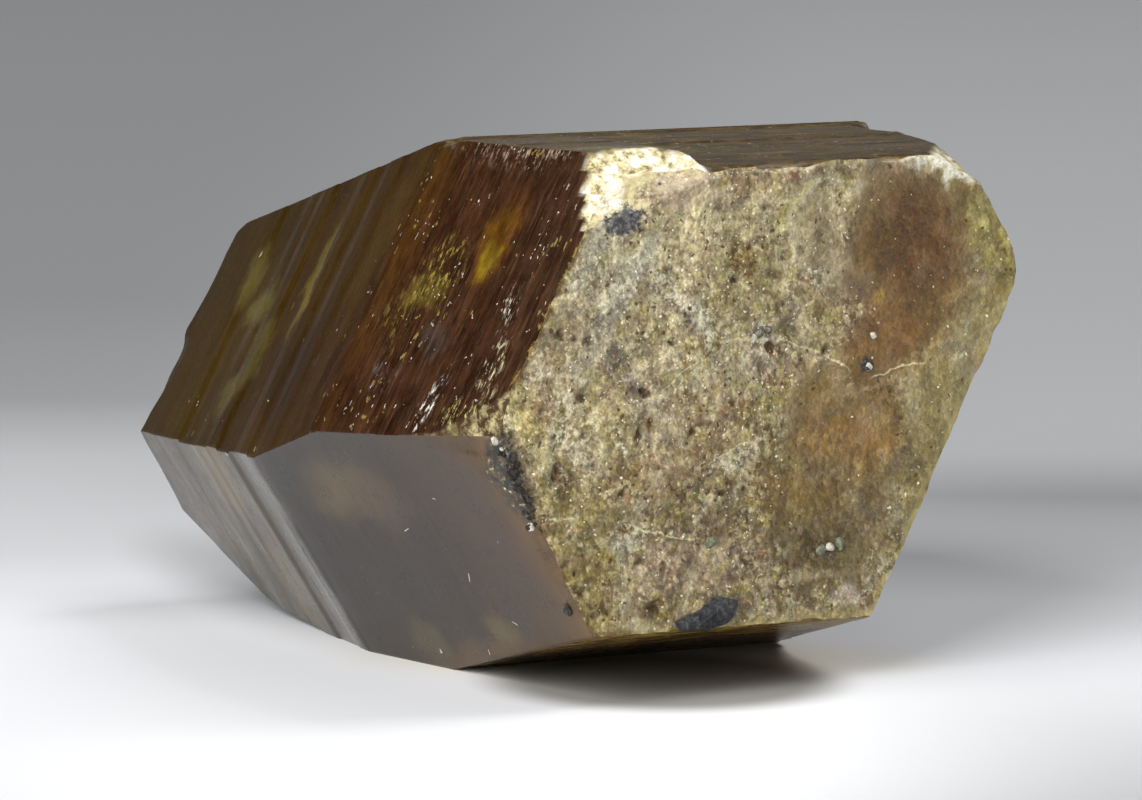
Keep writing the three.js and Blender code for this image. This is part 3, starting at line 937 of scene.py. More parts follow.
HEALED_CRACKS = [
    # centre, turn, half length, half width, bend
    ((0.85, 0.78), -14, 1.85, 0.03, -0.1),
    ((3.9, 0.02), 11, 0.8, 0.022, 0.0),
    ((-2.5, 0.05), 33, 0.95, 0.022, 0.0),
    ((-2.75, -3.38), -14, 1.15, 0.02, 0.06),
    ((-1.62, 3.95), 58, 0.55, 0.04, 0.2),
    ((1.0, 3.85), 46, 0.95, 0.09, -0.1),
    ((-5.47, -2.79), -2, 0.35, 0.02, 0.0),
    ((-0.95, -1.62), 24, 0.62, 0.018, 0.0),
]
# Painted shade: two dark lines along cracks that stand for shadow along them
CRACK_SHADE_LINES = [
    ((-0.45, -3.0), 92, 0.6, 0.03, 0.0),
    ((3.45, -0.5), -72, 0.6, 0.035, 0.25),
]
IVORY_PATCHES = [
    # centre and half size of the glassy breaks at the two upper corners
    ((-2.85, 5.1), (0.95, 0.26)),
    ((-3.95, 4.5), (0.55, 0.42)),
    ((-4.5, 5.0), (0.3, 0.2)),
    ((-4.75, 4.4), (0.2, 0.3)),
    ((4.95, 4.9), (0.85, 0.36)),
    ((5.7, 4.45), (0.45, 0.32)),
]
ETCH_DEPTH = 0.00006

end_material, shader, place = crystal_material("etched_end", 0.42, 0.28)
frayed = place.warped(0.9, 1.5)
crooked = place.warped(1.8, 0.35, 3.0)
hue_cloud = place.noise(0.55, 9.0, 0.62)
rust_cloud = place.moved((7, 3, 0)).noise(1.1, 9.0, 0.66)
pale_cloud = place.moved((2, 9, 5)).noise(1.1, 9.0, 0.66)
blotch = place.moved((1, 9, 4)).noise(2.4, 7.0, 0.7)
speckle = place.moved((5, 2, 6)).noise(7.0, 5.0, 0.75)
base = hue_cloud.fade(0.4, 0.62).between(TAN_LILAC, OLIVE_YELLOW)
base = base.tinted(RUST, rust_cloud.fade(0.48, 0.64) * 0.6)
base = base.tinted(CREAM, pale_cloud.fade(0.5, 0.72) * 0.75)
base = lay_patches(base, frayed, on_end_face, CLOUDS)
base = lay_patches(base, crooked, on_end_face, WINDOWS_AND_SPOTS)

# Its etching, which fades where the mineral is clear: wisps, coloured flecks, blotches and crumbs
grainy_share = place.mask("grainy")
wisps = place.stretched((1.0, 0.75, 1.0)).warped(0.7, 2.4, 6.0).noise(1.5, 7.0, 0.62)
base = base.tinted(base.brighter(blotch, 0.42, 1.5), grainy_share.fade(0.0, 1.0, 0.45, 1.0))
base = base.brighter(wisps, 0.56, 1.12)
base = base.tinted((208, 205, 176), wisps.fade(0.5, 0.66) * grainy_share * 0.36)
fleck_hue = crooked.moved((6, 1, 3)).noise(3.0, 6.0, 0.7)
base = base.tinted((152, 136, 60), fleck_hue.fade(0.51, 0.63) * grainy_share * 0.55)
base = base.tinted((136, 92, 48), fleck_hue.fade(0.47, 0.35) * grainy_share * 0.5)
base = base.tinted((92, 62, 26), blotch.fade(0.44, 0.3) * grainy_share * 0.45)
grain = place.laid(grain_group)
# The grain's painted light on the crumbs' tips and painted shade in the hollows between them
base = base.tinted((230, 214, 164), grain["Light"] * grainy_share * 0.5)
base = base.tinted((98, 68, 26), grain["Dark"] * grainy_share * 0.5)
base = base.tinted(base.brighter(speckle, 0.5, 1.55), grainy_share.fade(0.1, 1.1))
white_crumbs = speckle.fade(0.58, 0.66) * pale_cloud.fade(0.46, 0.6)
base = base.tinted((240, 236, 216), white_crumbs * grainy_share * 0.7)
crumbly_patches = [(*spot, 0.5, 0.5, WHITE_CRUMBS) for spot in CRUMBLY_SPOTS]
base = lay_patches(base, frayed, on_end_face, crumbly_patches, speckle.fade(0.48, 0.58))

# Its cracks, pits, pores and glints; the dark cracks are painted shade, and the glints are painted highlights
gritty = speckle.fade(0.38, 0.54, 0.25, 1.0)
for centre, turn, length, width, bend in HEALED_CRACKS:
    mask = crooked.vein((*centre, 0), turn, length, width, bend)
    base = base.tinted((228, 216, 168), mask * gritty * 0.8)
# Painted shade along the dark cracks, broken up by the speckle
broken_up = speckle.fade(0.38, 0.56, 0.9, 0.15)
for centre, turn, length, width, bend in CRACK_SHADE_LINES:
    base = base.tinted((66, 50, 30), crooked.vein((*centre, 0), turn, length, width, bend) * broken_up)
base = base.tinted((88, 58, 20), place.mask("pitted") * blotch.fade(0.35, 0.6, 0.4, 1.0) * 0.6)
base = base.tinted((74, 50, 18), place.mask("known_hollow") * 0.9)
pore_crowd = place.moved((8, 8, 8)).noise(0.7, 5.0, 0.6).fade(0.42, 0.62, 0.03, 0.34)
pores = place.warped(4.0, 0.3, 3.0).flecks(6.0, grainy_share * pore_crowd, 0.4)
base = base.tinted((80, 52, 16), pores * 0.9)
# Painted glints: small bright flecks that stand for highlights on the grain
painted_glint_share = grainy_share.fade(0.3, 1.0, 0.012, 0.1) * frayed.part("Y").fade(-2.6, -0.6, 0.35, 1.0)
base = base.tinted((250, 244, 220), crooked.flecks(9.0, painted_glint_share, 0.34) * 0.9)
base = base.tinted((240, 232, 204), crooked.moved((3, 3, 3)).flecks(15.0, painted_glint_share, 0.42) * 0.8)

# Its rim, its broken corners and the dark slate crumbs beside them
edge_gap = place.mask("edge_gap")
rim_share = edge_gap.fade(0.3, 0.02) * blotch.fade(0.36, 0.56, 0.1, 0.9) * place.part("Y").fade(4.4, 3.0)
base = base.tinted((200, 184, 112), rim_share * 0.5)
left_rim = edge_gap.fade(0.22, 0.04) * place.part("X").fade(-2.5, -4.5)
base = base.tinted(blotch.fade(0.5, 0.62).between((92, 68, 34), (212, 196, 146)), left_rim * 0.85)
slate = crooked.patch((-3.62, 3.66, 0), (0.5, 0.3, ANY_DEPTH), 14, 0.3, (speckle - 0.5) * 2.6)
small_slate = crooked.patch((-4.6, 3.95, 0), (0.3, 0.16, ANY_DEPTH), 0, 0.3, (blotch - 0.5) * 1.6)
triangle = frayed.patch((-2.0, 4.3, 0), (0.95, 0.5, ANY_DEPTH), 0, 0.25)
ivory_break = place.mask("ivory_break")
cream_share = ivory_break * (1.0 - triangle)
base = base.tinted((206, 190, 142), cream_share * blotch.fade(0.36, 0.56, 0.3, 0.85))
ivory_masks = [frayed.patch((*centre, 0), (*size, ANY_DEPTH), 0, 0.45) for centre, size in IVORY_PATCHES]
ivory_share = ivory_masks[0]
for mask in ivory_masks[1:]:
    ivory_share = mask.sum("MAXIMUM", ivory_share, mask)
ivory = place.noise(2.2, 7.0, 0.7).fade(0.34, 0.54).between((196, 178, 128), (255, 252, 232))
ivory = ivory.tinted((206, 190, 104), speckle.fade(0.52, 0.68) * 0.55)
base = base.tinted(ivory, ivory_share * blotch.fade(0.34, 0.5, 0.2, 1.0))
slate_tone = speckle.fade(0.44, 0.6).between((46, 48, 56), (112, 112, 116))
base = base.tinted(slate_tone, slate.sum("MAXIMUM", slate, small_slate * 0.8) * 0.92)
dark_crumbs = speckle.fade(0.45, 0.62).between((52, 38, 26), (176, 158, 112))
base = base.tinted(dark_crumbs, place.mask("broken") - ivory_break)
base = dirty_corner(base, place)
finish_shader(shader, base, grain["Height"], ETCH_DEPTH, speckle.fade(0.3, 0.7, 0.5, 0.22))

# The glossy sides: dark red-brown near the end face, olive-brown to the rear, finely lined across
# the length, with amber windows, lilac bruises, and painted yellow-green sparkles and glints that stand for
# highlights
GLOSSY_BANDS = [
    # depth below the end face in millimetres, and colour
    # the first two, a little greyer and bluer, hold a painted reflection haze
    (0.0, (64, 42, 28)),
    (0.7, (60, 37, 23)),
    (4.4, (62, 37, 20)),
    (5.3, (64, 39, 18)),
    (6.3, (62, 40, 12)),
    (7.4, (70, 49, 12)),
    (8.2, (60, 39, 10)),
    (9.4, (66, 46, 12)),
    (11.0, (59, 40, 10)),
    (14.0, (64, 47, 13)),
    (16.8, (56, 40, 12)),
]
UPPER_LEFT_PATCHES = [
    # centre along the side's edge and up the axis, half size, turn, softness, share, colour
    ((-0.3, -2.3), (1.0, 0.55), 0, 0.6, 0.95, (104, 68, 16)),
    ((0.2, -2.2), (0.5, 0.3), 0, 0.6, 0.8, (132, 108, 22)),
    ((0.6, -5.6), (2.8, 0.45), 0, 0.7, 0.3, (96, 62, 24)),
    ((3.2, -8.5), (1.4, 2.4), 0, 0.6, 0.6, (50, 32, 14)),
    ((0.7, -10.2), (1.4, 0.22), 0, 0.5, 0.8, (108, 92, 36)),
    ((0.6, -14.2), (0.7, 0.5), 0, 0.5, 0.8, (92, 82, 40)),
    ((1.5, -12.8), (0.6, 0.6), 0, 0.5, 0.8, (96, 86, 42)),
    ((2.7, -11.7), (0.9, 0.5), 0, 0.5, 0.7, (88, 78, 40)),
    ((3.9, -12.2), (0.6, 0.5), 0, 0.5, 0.7, (98, 86, 42)),
    ((1.2, -4.0), (0.4, 0.5), 0, 0.6, 0.6, (104, 88, 34)),
    ((2.2, -2.9), (0.4, 0.4), 0, 0.6, 0.5, (78, 68, 62)),
    ((-3.1, -3.6), (0.3, 1.2), 0, 0.6, 0.5, (120, 104, 84)),
]
UPPER_LEFT_GLITTER = [
    # where small broken facets glitter: paler broken facets with painted glitter highlights, laid out as the
    # patches are
    ((3.86, -1.9), (0.6, 0.26), 0, 0.5, 0.95, (206, 202, 192)),
    ((4.1, -0.5), (0.5, 0.7), 0, 0.5, 0.95, (194, 186, 120)),
    ((4.1, 0.8), (0.5, 0.6), 0, 0.6, 0.9, (206, 196, 140)),
    ((2.7, -0.3), (0.7, 0.32), 0, 0.5, 0.95, (196, 190, 152)),
    ((1.43, -0.82), (0.45, 0.3), 0, 0.6, 0.9, (180, 174, 156)),
    ((0.62, -3.82), (0.8, 0.6), 0, 0.6, 0.7, (156, 138, 66)),
    ((1.9, -4.6), (0.8, 0.6), 0, 0.6, 0.5, (116, 104, 50)),
    ((3.3, -4.2), (0.5, 0.5), 0, 0.6, 0.5, (104, 102, 104)),
    ((-2.9, -2.9), (0.7, 2.0), 0, 0.6, 0.85, (172, 156, 136)),
]
TOP_PATCHES = [
    ((0.0, -4.0), (9.0, 6.0), 0, 0.5, 0.8, (108, 93, 66)),
    ((2.8, -1.2), (1.2, 0.8), 0, 0.5, 0.7, (150, 138, 104)),
    ((0.5, -3.4), (1.6, 1.0), 0, 0.5, 0.6, (104, 90, 64)),
    ((-2.5, -6.4), (1.6, 1.0), 0, 0.5, 0.6, (86, 60, 36)),
]
RIGHT_PATCHES = [
    ((0.4, -3.0), (1.2, 0.7), 0, 0.5, 0.8, (96, 66, 24)),
    ((-1.6, -9.8), (1.0, 0.6), 0, 0.5, 0.7, (92, 82, 42)),
    ((1.8, -12.6), (0.9, 0.8), 0, 0.5, 0.7, (96, 84, 42)),
]
BELLY_PAINTED_GLOW = [
    # lighter than the other sides: a painted glow that stands for light passing through the crystal into its
    # shaded underside
    ((0.0, -1.0), (9.0, 2.0), 0, 0.5, 0.9, (160, 126, 66)),
    ((-2.2, -0.4), (1.2, 0.4), 0, 0.5, 0.8, (176, 160, 60)),
    ((0.0, -9.0), (9.0, 5.0), 0, 0.5, 0.8, (136, 110, 66)),
]
STREAK_DEPTH = 0.00002


def glossy_side(name, side_name, patches, streak_share, rear_detail, glitter_patches=()):
    """The finish of one glossy side; rear_detail is how much of its fine detail reaches the rear."""
    material, shader, place = crystal_material(name, 0.22, 0.05)
    depth = place.part("Z") * -1.0
    cloud = place.stretched((0.5, 0.5, 1.2)).noise(0.7, 8.0, 0.66)
    base = growth_bands((depth + (cloud - 0.5) * 5.0) / LENGTH, GLOSSY_BANDS)
    frayed = side_place(place, side_name).warped(0.8, 1.6)
    base = lay_patches(base, frayed, on_one_side, patches)
    mottle = place.stretched((0.7, 0.7, 1.5)).noise(1.6, 8.0, 0.7)
    near_end = depth.fade(8.5, 3.0, rear_detail, 1.0)
    clouded = base.brighter(cloud, 0.4, 0.85)
    base = clouded.tinted(base.brighter(mottle, 0.22, 0.95), near_end.fade(0.0, 1.0, 0.25, 1.0))
    bruise = place.moved((4, 4, 4)).noise(1.3, 6.0, 0.7)
    base = base.tinted((70, 56, 58), bruise.fade(0.6, 0.78) * 0.5)

    lines = place.laid(streak_group, Density=5.0, Run=0.35)
    lined = near_end.fade(0.0, 1.0, 0.2, 1.0)
    base = base.tinted(base.brighter(lines["Height"], 0.6, 1.4), lined)
    fine_lines = place.moved((3, 1, 2)).laid(streak_group, Density=16.0, Run=0.9)
    base = base.tinted((116, 84, 62), fine_lines["Light"] * near_end * streak_share)
    # Painted sparkles and glints: flecks that stand for highlights on small facets near the end face
    sparkle_place = place.stretched((1, 1, 2.0)).warped(2.0, 0.9, 3.0)
    where = place.moved((9, 2, 2)).noise(0.6, 5.0, 0.66).fade(0.48, 0.66) * near_end
    base = base.tinted((134, 118, 62), sparkle_place.flecks(3.4, where * 0.34, 0.38) * 0.7)
    painted_glint_share = where * 0.2 + near_end * 0.012
    painted_glints = sparkle_place.moved((5, 5, 5)).flecks(6.0, painted_glint_share, 0.32)
    base = base.tinted((206, 198, 186), painted_glints * 0.75)
    crumb_noise = place.noise(3.6, 6.0, 0.72)
    # Painted glitter: pale, bright patches on small broken facets that stand for highlights
    if glitter_patches:
        chips = place.stretched((0.6, 0.6, 1.8)).noise(5.5, 5.0, 0.72).fade(0.52, 0.64)
        base = lay_patches(base, frayed, on_one_side, glitter_patches, chips)

    from_end = place.mask("edge_gap")
    frayed_edge = from_end + (crumb_noise - 0.5) * 1.1
    base = base.tinted((132, 108, 54), frayed_edge.fade(0.02, -0.1))
    glassy = place.noise(3.4, 7.0, 0.72)
    ivory = glassy.fade(0.36, 0.5).between((126, 112, 74), (222, 208, 164))
    ivory = ivory.tinted((255, 253, 240), glassy.fade(0.5, 0.58))
    ivory_break = place.mask("ivory_break")
    base = base.tinted(ivory, ivory_break * from_end.fade(1.6, 0.7, 0.25, 0.95))
    pale_share = crumb_noise.fade(0.44, 0.66) * from_end.fade(1.6, 0.5, 0.3, 1.0)
    broken_tone = pale_share.between((62, 44, 26), (182, 168, 124))
    base = base.tinted(broken_tone, (place.mask("broken") - ivory_break) * 0.9)
    base = dirty_corner(base, place)
    finish_shader(shader, base, lines["Height"] * lined, STREAK_DEPTH, mottle.fade(0.35, 0.65, 0.16, 0.34))
    return material


upper_left_material = glossy_side(
    "upper_left_side", "upper left", UPPER_LEFT_PATCHES, 0.45, 0.05, UPPER_LEFT_GLITTER
)
top_material = glossy_side("top_side", "top", TOP_PATCHES, 0.3, 0.7)
right_material = glossy_side("right_sides", "upper right", RIGHT_PATCHES, 0.35, 0.6)
# The belly's finish, with its painted glow
belly_material = glossy_side("belly_side", "belly", BELLY_PAINTED_GLOW, 0.3, 0.6)

# The lower left side: a satin side that mirrors the table, grey-mauve with brown clouds and a thin
# brown border at the end face, faintly dusty and scratched
SATIN_BANDS = [
    (0.0, (76, 54, 24)),
    (0.5, (64, 46, 21)),
    (1.8, (52, 37, 20)),
    (4.0, (38, 27, 18)),
    (8.0, (32, 24, 18)),
    (8.7, (42, 37, 33)),
    (9.3, (98, 94, 88)),
    (10.4, (62, 55, 47)),
    (12.0, (66, 57, 44)),
    (16.8, (60, 51, 40)),
]
LOWER_LEFT_PATCHES = [
    ((-2.0, -5.9), (0.7, 1.3), 0, 0.7, 0.65, (82, 66, 38)),
    ((-1.5, -4.6), (0.6, 0.8), 0, 0.6, 0.6, (66, 50, 30)),
    ((2.1, -2.95), (0.5, 0.45), 0, 0.6, 0.7, (80, 68, 34)),
    ((2.1, -6.0), (0.5, 0.6), 0, 0.5, 0.6, (66, 60, 36)),
    ((3.0, -3.6), (0.6, 2.6), 0, 0.6, 0.7, (76, 52, 18)),
    ((-0.5, -1.2), (1.8, 0.7), 0, 0.6, 0.6, (58, 42, 35)),
    ((-2.4, -12.4), (1.0, 1.0), 0, 0.5, 0.7, (92, 78, 52)),
    ((0.6, -11.6), (1.2, 0.8), 0, 0.5, 0.5, (108, 96, 76)),
]
SCRATCHES = [
    # place up the axis and along the side's edge, turn, half length, half width
    ((3.1, 0.6), 60, 0.14, 0.012),
    ((2.4, 1.9), -35, 0.1, 0.011),
    ((4.4, -0.8), 15, 0.12, 0.01),
    ((4.0, 2.6), 70, 0.09, 0.011),
]
SATIN_DEPTH = 0.000008

satin_material, shader, place = crystal_material("satin_side", 0.3, 0.42)
on_side_place = side_place(place, "lower left")
depth = place.part("Z") * -1.0
cloud = place.noise(0.45, 8.0, 0.62)
base = growth_bands((depth + (cloud - 0.5) * 2.0) / LENGTH, SATIN_BANDS)
base = lay_patches(base, on_side_place.warped(0.8, 1.4), on_one_side, LOWER_LEFT_PATCHES)
mottle = place.noise(1.2, 8.0, 0.7)
base = base.brighter(mottle, 0.78, 1.25)
lines = place.laid(streak_group, Density=3.0, Run=0.25)
behind_kink = depth.fade(8.0, 9.4)
base = base.tinted((150, 146, 138), lines["Light"] * behind_kink * 0.35)
base = base.tinted((44, 34, 28), lines["Height"].fade(0.5, 0.3) * behind_kink * 0.35)
base = base.tinted((190, 186, 178), place.warped(3.0, 0.4, 2.0).flecks(3.0, 0.05, 0.14) * 0.7)
on_its_side = on_side_place.turned((0, -math.pi / 2, 0))
for centre, turn, length, width in SCRATCHES:
    base = base.tinted((196, 190, 182), on_its_side.vein((*centre, 0), turn, length, width) * 0.8)
rim_share = place.mask("edge_gap").fade(0.3, 0.03) * mottle.fade(0.4, 0.6, 0.1, 0.9)
base = base.tinted((96, 72, 40), rim_share * 0.5)
base = dirty_corner(base, place)
finish_shader(shader, base, lines["Height"], SATIN_DEPTH, mottle.fade(0.3, 0.7, 0.24, 0.4))

# The rear break: rough and dull, olive-brown with pale crumbs
rear_material, shader, place = crystal_material("rear_break", 0.5, 0.5)
base = place.noise(0.8, 8.0, 0.68).fade(0.35, 0.65).between((80, 60, 34), (150, 132, 92))
base = base.tinted((120, 78, 42), place.moved((7, 3, 0)).noise(0.6, 8.0, 0.66).fade(0.5, 0.68) * 0.6)
grain = place.laid(grain_group)
# The grain's painted light on the crumbs' tips and painted shade in the hollows between them
base = base.tinted((200, 190, 156), grain["Light"] * 0.5)
base = base.tinted((62, 46, 26), grain["Dark"] * 0.6)
base = base.brighter(place.noise(6.0, 5.0, 0.75), 0.7, 1.3)
finish_shader(shader, base, grain["Height"], ETCH_DEPTH)

# Each face takes the finish of the part of the crystal that it lies on
END_FINISH = 0
REAR_FINISH = 5
FINISH_OF_SIDE = {0: 3, 1: 2, 2: 1, 3: 4, 4: 6, 5: 3}
materials = [
    end_material,
    upper_left_material,
    top_material,
    right_material,
    satin_material,
    rear_material,
    belly_material,
]
for material in materials:
    crystal_mesh.materials.append(material)
face_count = len(crystal_mesh.polygons)
face_start = np.zeros(face_count, int)
face_size = np.zeros(face_count, int)
crystal_mesh.polygons.foreach_get("loop_start", face_start)
crystal_mesh.polygons.foreach_get("loop_total", face_size)
loop_vertex = np.zeros(len(crystal_mesh.loops), int)
crystal_mesh.loops.foreach_get("vertex_index", loop_vertex)
finish = np.zeros(face_count, int)
for face in range(face_count):
    corners = loop_vertex[face_start[face] : face_start[face] + face_size[face]]
    rings_here = ring[corners]
    if rings_here.max() <= END_RINGS:
        finish[face] = END_FINISH
    elif rings_here.min() >= END_RINGS + SIDE_RINGS:
        finish[face] = REAR_FINISH
    else:
        columns_here = column[corners]
        over_the_seam = columns_here.max() - columns_here.min() > 1
        first = columns_here.max() if over_the_seam else columns_here.min()
        finish[face] = FINISH_OF_SIDE[int(side_of_column[first])]
crystal_mesh.polygons.foreach_set("material_index", finish)
crystal_mesh.update()
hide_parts("crystal")
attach(crystal, "root")

# Mineral grains
# Small crystals of other minerals that the parisite grew round: a charcoal slab at the lower edge of
# the end face, black crumbs at the left corner, a bead with a pale core, and some pale and green
# grains. All but the last take their height from the nearest point of the end face.
def face_height(x, y):
    """How far up the finished end face lies at one place on it."""
    gaps = np.hypot(end_skin[:, 0] - x, end_skin[:, 1] - y)
    return float(end_skin[np.argmin(gaps), 2])


def add_grain(bm, middle, size, turn, cuts, seed, finish, lean=(0, 0, 1)):
    """A ball cut by flat faces to an angular grain, pressed into the surface that leans that way."""
    verts = bmesh.ops.create_icosphere(bm, subdivisions=3, radius=1.0)["verts"]
    for k in range(cuts):
        turn_round = 2 * math.pi * scatter(seed + k, 7)
        up = 1.4 * scatter(seed + k, 8) - 0.3
        facing = Vector((math.cos(turn_round), math.sin(turn_round), up)).normalized()
        reach = 0.55 + 0.25 * scatter(seed + k, 9)
        for vert in verts:
            over = vert.co.dot(facing) - reach
            if over > 0:
                vert.co -= facing * over
    turned = Matrix.Rotation(math.radians(turn), 3, "Z")
    stand = Vector((0, 0, 1)).rotation_difference(Vector(lean)).to_matrix()
    for vert in verts:
        shaped = turned @ Vector((vert.co.x * size[0], vert.co.y * size[1], vert.co.z * size[2]))
        vert.co = Vector(lay_down(*(Vector(middle) + stand @ shaped))) * MM
    for face in {face for vert in verts for face in vert.link_faces}:
        face.material_index = finish
        face.smooth = False


CHARCOAL, BLACK, PALE, GREEN, BEAD, GREY = range(6)
END_GRAINS = [
    # place on the end face, half sizes, turn, cuts, seed, finish
    ((-1.34, -5.2), (0.74, 0.4, 0.14), 14, 9, 11, CHARCOAL),
    ((-2.05, -5.36), (0.62, 0.22, 0.13), 6, 7, 23, CHARCOAL),
    ((-1.74, -5.24), (0.62, 0.24, 0.13), 28, 5, 29, CHARCOAL),
    ((2.96, 0.13), (0.2, 0.19, 0.1), 0, 5, 31, BEAD),
    ((2.98, 0.13), (0.13, 0.12, 0.17), 0, 6, 37, PALE),
    ((3.19, 0.83), (0.09, 0.09, 0.09), 0, 5, 41, PALE),
    ((-1.45, -3.61), (0.18, 0.15, 0.1), 20, 6, 47, GREEN),
    ((1.78, -3.95), (0.11, 0.11, 0.11), 10, 6, 53, PALE),
    ((1.55, -4.0), (0.15, 0.12, 0.1), 30, 6, 59, GREEN),
    ((2.06, -3.9), (0.13, 0.17, 0.1), -20, 6, 61, GREEN),
    ((0.0, 1.05), (0.19, 0.12, 0.08), 35, 8, 67, GREY),
    ((0.24, 1.08), (0.13, 0.1, 0.07), -20, 8, 71, GREY),
    ((-0.2, 0.92), (0.14, 0.08, 0.05), 60, 8, 73, PALE),
    ((0.38, 0.9), (0.1, 0.13, 0.05), 10, 8, 79, GREY),
    ((0.12, 0.88), (0.12, 0.06, 0.05), -15, 8, 97, PALE),
    ((-0.36, 1.04), (0.07, 0.06, 0.04), 15, 8, 113, GREY),
    ((0.46, 1.12), (0.07, 0.05, 0.05), 75, 8, 127, GREEN),
    ((1.55, 2.35), (0.08, 0.05, 0.04), 10, 6, 83, PALE),
]
GRAIN_RISE = 0.15  # how far its middle lies above the end face, as a share of its half height
bm = bmesh.new()
for (x, y), size, turn, cuts, seed, finish in END_GRAINS:
    add_grain(bm, (x, y, face_height(x, y) + GRAIN_RISE * size[2]), size, turn, cuts, seed, finish)

# The crumbs that fill the broken left corner lie in a strip along it. Nine of them, over the steep
# break or just outside the rim, don't reach the crystal.
CRUMBS = 26
CRUMB_STRIP = ((-6.98, -0.95), (-6.2, -2.95))
CRUMB_SPREAD = (0.3, 0.12)
CRUMB_HALF = (0.05, 0.1)  # the least half width, and how much more the largest have
CRUMB_SINK = 0.1
for k in range(CRUMBS):
    along, aside, bulk = (scatter(k, row) for row in (61, 62, 63))
    x, y = (
        start * (1 - along) + stop * along + spread * (aside - 0.35)
        for start, stop, spread in zip(*CRUMB_STRIP, CRUMB_SPREAD)
    )
    half = CRUMB_HALF[0] + CRUMB_HALF[1] * bulk**2 * (1 - 0.5 * along)
    size = (half, 1.25 * half, 0.5 * half)
    finish = PALE if k % 9 == 2 else BLACK
    add_grain(bm, (x, y, face_height(x, y) - CRUMB_SINK * half), size, 160 * aside, 9, 101 + 3 * k, finish)
LOWER_LEFT_WAY = (-0.855, -0.494, 0.156)  # the way that the lower left side faces
add_grain(bm, (-5.16, -4.9, -0.13), (0.13, 0.17, 0.05), 0, 4, 151, CHARCOAL, LOWER_LEFT_WAY)
grain_mesh = bpy.data.meshes.new("mineral_grains")
bmesh.ops.recalc_face_normals(bm, faces=bm.faces)
bm.to_mesh(grain_mesh)
bm.free()
grains = bpy.data.objects.new("mineral_grains", grain_mesh)
bpy.context.collection.objects.link(grains)
GRAIN_FINISHES = [
    # name, darker and lighter tone, roughness
    ("charcoal_grain", (14, 15, 19), (86, 88, 92), 0.45),
    ("black_grain", (18, 15, 13), (84, 72, 52), 0.4),
    ("pale_grain", (206, 200, 176), (255, 254, 244), 0.2),
    ("green_grain", (104, 110, 84), (164, 166, 138), 0.3),
    ("dark_bead", (40, 38, 40), (96, 92, 92), 0.25),
    ("grey_grain", (92, 88, 76), (222, 216, 196), 0.3),
]
GRAIN_DEPTH = 0.00012
for name, dark_tone, light_tone, roughness in GRAIN_FINISHES:
    material, shader, place = crystal_material(name, roughness, 0.3)
    mottle = place.noise(8.0, 7.0, 0.7)
    base = mottle.fade(0.42, 0.7).between(dark_tone, light_tone)
    base = base.tinted(light_tone, place.flecks(14.0, 0.08, 0.4))
    finish_shader(shader, base, mottle, GRAIN_DEPTH)
    grain_mesh.materials.append(material)
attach(grains, "root")

# Floor
# The table: a pale, matt sheet that runs back under the crystal and greys away behind it; the greying is
# painted, standing for the grey backdrop and the fall-off of the light. Painted light, a painted warm glow
# and painted shadows on it stand for the light and shade round the crystal.
FLOOR_HALF = 2.0
LEFT_PAINTED_FALLOFF = [
    # how far behind the crystal's middle in millimetres, and how light, a painted fall-off of
    # the light: at the left
    (-20, 0.665), (-9, 0.83), (0, 0.873), (5, 0.644), (11, 0.538),
    (22, 0.463), (28, 0.418), (40, 0.261), (66, 0.213), (230, 0.205),
]
RIGHT_PAINTED_FALLOFF = [
    # at the right, where the dip at 22 mm is a painted deepening of the crystal's shadow
    (-20, 0.45), (-9, 0.651), (0, 0.722), (5, 0.726), (11, 0.509),
    (22, 0.259), (30, 0.362), (40, 0.356), (66, 0.326), (230, 0.27),
]
LEFT_TO_RIGHT = (-18.0, 16.0)
FLOOR_PAINTED_LIGHT_AND_SHADOWS = [
    # centre, half size, turn, softness, share, how it is laid, tone: the painted light in front, the painted
    # warm glow under the end face, and the painted shadows in front of the end face and at the left
    ((-3.0, -15.5), (10.0, 12.0), 0, 0.6, 1.0, "MIX", (0.86, 0.87, 0.89, 1.0)),
    ((1.2, -3.6), (6.0, 2.8), 0, 0.4, 0.7, "MULTIPLY", (1.0, 0.9, 0.7, 1.0)),
    ((1.9, -6.5), (3.9, 3.5), 0, 0.22, 0.88, "MULTIPLY", (0.26, 0.245, 0.21, 1.0)),
    ((-7.2, 5.5), (2.2, 8.0), 20, 0.6, 0.7, "MULTIPLY", (0.45, 0.45, 0.45, 1.0)),
]

floor_mesh = bpy.data.meshes.new("floor")
bm = bmesh.new()
bmesh.ops.create_grid(bm, x_segments=1, y_segments=1, size=FLOOR_HALF)
bm.to_mesh(floor_mesh)
bm.free()
floor = bpy.data.objects.new("floor", floor_mesh)
bpy.context.collection.objects.link(floor)
floor_material = bpy.data.materials.new("floor")
floor_material.use_nodes = True
tree = floor_material.node_tree
shader = tree.nodes["Principled BSDF"]
shader.inputs["Roughness"].default_value = 0.6
shader.inputs["Specular IOR Level"].default_value = 0.3
on_floor = Flow(tree, add_node(tree, "ShaderNodeTexCoord").outputs["Object"])
framing = {"Vector": on_floor, "Rotation": (0, 0, -CAMERA_AZIMUTH), "Scale": (1 / MM, 1 / MM, 1 / MM)}
away = on_floor.through("ShaderNodeMapping", framing)


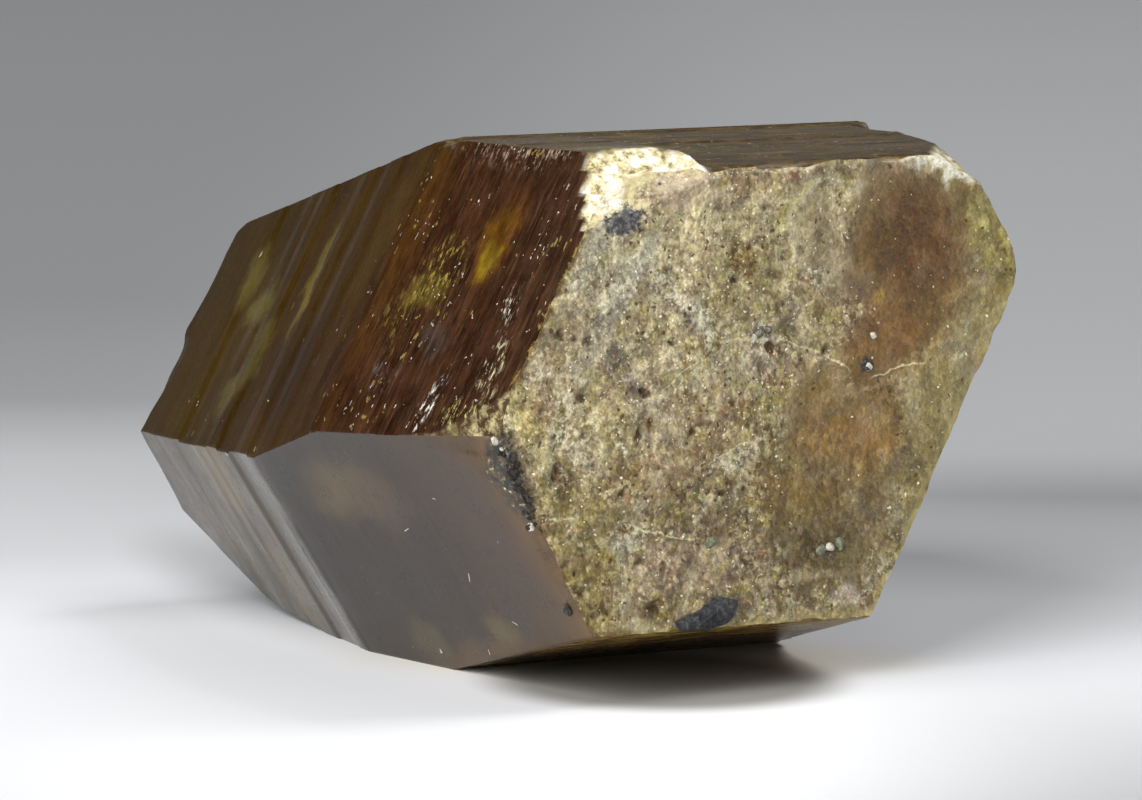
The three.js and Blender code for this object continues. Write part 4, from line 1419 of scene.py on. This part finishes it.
def floor_ramp(shades):
    """The floor's tone, with its painted fall-off of light, by how far back it lies, a touch bluer than grey.
    """
    nearest, furthest = shades[0][0], shades[-1][0]
    span = furthest - nearest
    stops = [((distance - nearest) / span, (tone * 0.985, tone, tone * 1.03, 1)) for distance, tone in shades]
    return ((away.part("Y") - nearest) / span).ramp(stops)


# The painted fall-off of the light, from the left tones to the right ones
across = away.part("X").fade(*LEFT_TO_RIGHT)
floor_tone_and_painted_light = floor_ramp(LEFT_PAINTED_FALLOFF).tinted(floor_ramp(RIGHT_PAINTED_FALLOFF), across)
# Painted light in front, a painted warm glow and painted shadows, laid on the floor
for centre, size, turn, softness, share, way, tone in FLOOR_PAINTED_LIGHT_AND_SHADOWS:
    mask = away.patch((*centre, 0), (*size, ANY_DEPTH), turn, softness)
    floor_tone_and_painted_light = floor_tone_and_painted_light.tinted(tone, mask * share, way)
set_input(tree, shader.inputs["Base Color"], floor_tone_and_painted_light)
floor_mesh.materials.append(floor_material)

# Light
# Two soft lamps stand at the left and the right in front of the table, and one hangs above it. The
# room behind is mid-grey as far up as the backdrop reaches, and dark above.
LAMP_DISTANCE = 1.4
LAMPS = [
    # name, degrees round from the end face's own way, where left is less, degrees up, width, power
    ("left_lamp", -71, 31, 1.25, 38),
    ("right_lamp", 92, 48, 0.8, 11.6),
    ("top_lamp", 60, 70, 1.0, 2.9),
]
BACKDROP_TOP = (0.13, 0.26)  # sine of the elevation where it starts to darken, and where it is dark
ROOM_SHADES = (0.24, 0.03)

for name, azimuth, elevation, width, power in LAMPS:
    lamp_data = bpy.data.lights.new(name, "AREA")
    lamp_data.energy = power
    lamp_data.size = width
    turn, rise = math.radians(azimuth), math.radians(elevation)
    way = Vector((math.sin(turn) * math.cos(rise), -math.cos(turn) * math.cos(rise), math.sin(rise)))
    lamp = bpy.data.objects.new(name, lamp_data)
    lamp.location = way * LAMP_DISTANCE
    lamp.rotation_euler = (-lamp.location).to_track_quat("-Z", "Y").to_euler()
    bpy.context.collection.objects.link(lamp)

world = bpy.data.worlds.new("world")
bpy.context.scene.world = world
world.use_nodes = True
tree = world.node_tree
direction = Flow(tree, add_node(tree, "ShaderNodeTexCoord").outputs["Generated"])
room_shade = direction.part("Z").fade(*BACKDROP_TOP, *ROOM_SHADES)
background = tree.nodes["Background"]
set_input(tree, background.inputs["Color"], room_shade.as_grey())
background.inputs["Strength"].default_value = 1.0
